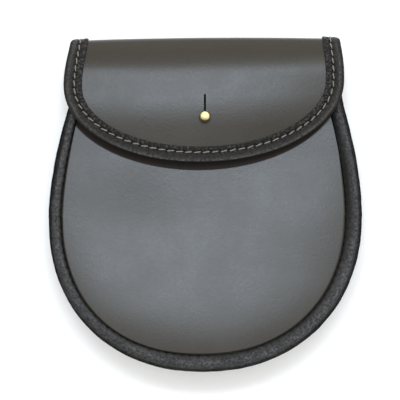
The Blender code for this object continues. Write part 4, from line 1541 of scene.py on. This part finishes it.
# %% Keeper
KEEPER_WIDTH = 70.0 * MM
KEEPER_THICKNESS = 2.0 * MM
KEEPER_BOTTOM_Y = 20.0 * MM
KEEPER_TOP_Y = 74.0 * MM
KEEPER_TAB = 9.0 * MM
KEEPER_RAMP = 6.0 * MM
KEEPER_CORNER = 6.0 * MM
KEEPER_EDGE_ROUNDING = 0.4 * MM
KEEPER_STITCH_END = 6.0 * MM         # its stitches start this far from its ends
KEEPER_COLUMNS = 41
CORNER_ROWS = 10
TAB_ROWS = 5
RAMP_ROWS = 13
BAND_ROWS = 24


def keeper_lift(y):
    """Height of the keeper's outer face: its two tabs lie on the back and its middle stands off."""
    tab = BACK_FACE_Z - GAP - KEEPER_THICKNESS
    edge = min(y - KEEPER_BOTTOM_Y, KEEPER_TOP_Y - y)
    return tab * (1.0 - smooth((edge - KEEPER_TAB) / KEEPER_RAMP))


def keeper_half_width(y):
    """Half the keeper's width, less at its rounded corners."""
    edge = min(y - KEEPER_BOTTOM_Y, KEEPER_TOP_Y - y, KEEPER_CORNER)
    missing = KEEPER_CORNER - math.sqrt(KEEPER_CORNER ** 2 - (KEEPER_CORNER - edge) ** 2)
    return KEEPER_WIDTH / 2 - missing


def make_keeper():
    half = [KEEPER_CORNER * (1.0 - cos_sin(turn)[0]) for turn in spaced(0.0, 90.0, CORNER_ROWS)]
    half += spaced(KEEPER_CORNER, KEEPER_TAB, TAB_ROWS)[1:]
    half += spaced(KEEPER_TAB, KEEPER_TAB + KEEPER_RAMP, RAMP_ROWS)[1:]
    middle = spaced(KEEPER_BOTTOM_Y + half[-1], KEEPER_TOP_Y - half[-1], BAND_ROWS)[1:-1]
    stations = [KEEPER_BOTTOM_Y + d for d in half] + middle
    stations += [KEEPER_TOP_Y - d for d in half[::-1]]
    outer, inner = [], []
    for y in stations:
        wide, low = keeper_half_width(y), keeper_lift(y)
        row = spaced(-wide, wide, KEEPER_COLUMNS)
        outer.append([Vector((x, y, low)) for x in row])
        inner.append([Vector((x, y, low + KEEPER_THICKNESS)) for x in row])
    piece = new_piece("keeper_band", *shell(outer, inner),
                      [keeper_leather, leather_flesh, leather_edge], "keeper_leather",
                      "belt_keeper")
    round_edges(piece, KEEPER_EDGE_ROUNDING)
    return piece


def make_keeper_stitches():
    parts = []
    reach = KEEPER_WIDTH / 2 - KEEPER_STITCH_END
    count = int(2 * reach / STITCH_PITCH) + 1
    for y in (KEEPER_BOTTOM_Y + KEEPER_TAB / 2, KEEPER_TOP_Y - KEEPER_TAB / 2):
        for x in spaced(-reach, reach, count):
            place = Vector((x, y, keeper_lift(y)))
            rings = thread_rings(place, Vector((1, 0, 0)), Vector((0, 1, 0)), Vector((0, 0, -1)),
                                 STITCH_SHARE * STITCH_PITCH)
            parts.append(swept(rings))
    return new_piece("keeper_stitches", *join(parts), [thread], "keeper_leather")


make_keeper()
make_keeper_stitches()


# %% [markdown]
# ## Floor, light and camera
# The pouch lies on a plain pale floor. A wide softbox hangs above it, a little towards the top
# of the picture, so that the leather shows a broad cool sheen where it tilts that way, and
# stays dark olive where it doesn't. The studio's walls are white and brighter on that same
# side: that lights the floor and leaves the edges that face the other way dark. The camera
# looks straight down with a long lens.

# %% Floor
FLOOR_SIZE = 6.0                    # in metres, as for the light and the camera


def make_floor():
    material, tree, shader = new_material("matt white board", Roughness=0.85)
    place = add_node(tree, "ShaderNodeTexCoord").outputs["Object"]
    fibres = add_node(tree, "ShaderNodeTexNoise", {"Scale": per_mm(4), "Detail": 3.0},
                      {"Vector": place})
    colour = add_node(tree, "ShaderNodeValToRGB", feeds={"Fac": fibres.outputs["Fac"]})
    colour.color_ramp.elements[0].color = hex_colour("#f3f3f2")
    colour.color_ramp.elements[1].color = hex_colour("#f8f8f7")
    tree.links.new(colour.outputs["Color"], shader.inputs["Base Color"])
    bpy.ops.mesh.primitive_plane_add(size=FLOOR_SIZE, location=(0.0, 0.0, 0.0))
    floor = bpy.context.object
    floor.name = "floor"
    floor.data.materials.append(material)
    print("floor:", FLOOR_SIZE, "m wide,", material.name)


make_floor()

# %% Light
KEY_HEIGHT = 2.00
KEY_PLACE = (-0.02, 0.65)
KEY_SIZE = (0.70, 0.22)
KEY_POWER = 12.3
KEY_COLOUR = (0.72, 0.85, 1.0)      # a cool white, as linear values
SKY_SIDE = (0.10, 0.80, 0.60)       # the brightest part of the studio's white walls
SKY_LIGHT = 2.05
SKY_DARK = 0.0


def make_light():
    light = bpy.data.lights.new("key softbox", "AREA")
    light.shape = "RECTANGLE"
    light.size, light.size_y = KEY_SIZE
    light.energy = KEY_POWER
    light.color = KEY_COLOUR
    key = bpy.data.objects.new("key softbox", light)
    key.location = (*KEY_PLACE, KEY_HEIGHT)
    key.rotation_euler = (Vector((0, 0, 0)) - key.location).to_track_quat("-Z", "Y").to_euler()
    bpy.context.scene.collection.objects.link(key)
    world = bpy.data.worlds.new("soft studio")
    world.use_nodes = True
    tree = world.node_tree
    direction = add_node(tree, "ShaderNodeTexCoord").outputs["Generated"]
    facing = add_node(tree, "ShaderNodeVectorMath", {1: SKY_SIDE}, {0: direction},
                      operation="DOT_PRODUCT")
    shade = add_node(tree, "ShaderNodeMapRange",
                     {"From Min": -1.0, "From Max": 1.0, "To Min": SKY_DARK, "To Max": SKY_LIGHT},
                     {"Value": facing.outputs["Value"]})
    tree.links.new(shade.outputs["Result"], tree.nodes["Background"].inputs["Strength"])
    tree.nodes["Background"].inputs["Color"].default_value = (1.0, 1.0, 1.0, 1.0)
    bpy.context.scene.world = world
    bpy.context.scene.view_settings.view_transform = "Standard"
    print("key light:", KEY_POWER, "W at", KEY_HEIGHT, "m")


make_light()

# %% Camera
CAMERA_HEIGHT = 1.60
PICTURE_WIDTH = 242.4 * MM          # what the frame spans at the height of the front
FRONT_HEIGHT = 30.0 * MM
CAMERA_X = -3.2 * MM
CAMERA_Y = 2.5 * MM
SENSOR = 36.0


def make_camera():
    data = bpy.data.cameras.new("camera")
    data.sensor_width = SENSOR
    data.lens = SENSOR * (CAMERA_HEIGHT - FRONT_HEIGHT) / PICTURE_WIDTH
    data.clip_start = 0.05
    camera = bpy.data.objects.new("camera", data)
    camera.location = (CAMERA_X, CAMERA_Y, CAMERA_HEIGHT)
    bpy.context.scene.collection.objects.link(camera)
    bpy.context.scene.camera = camera
    print("lens:", round(data.lens), "mm")


make_camera()


bpy.context.view_layer.update()
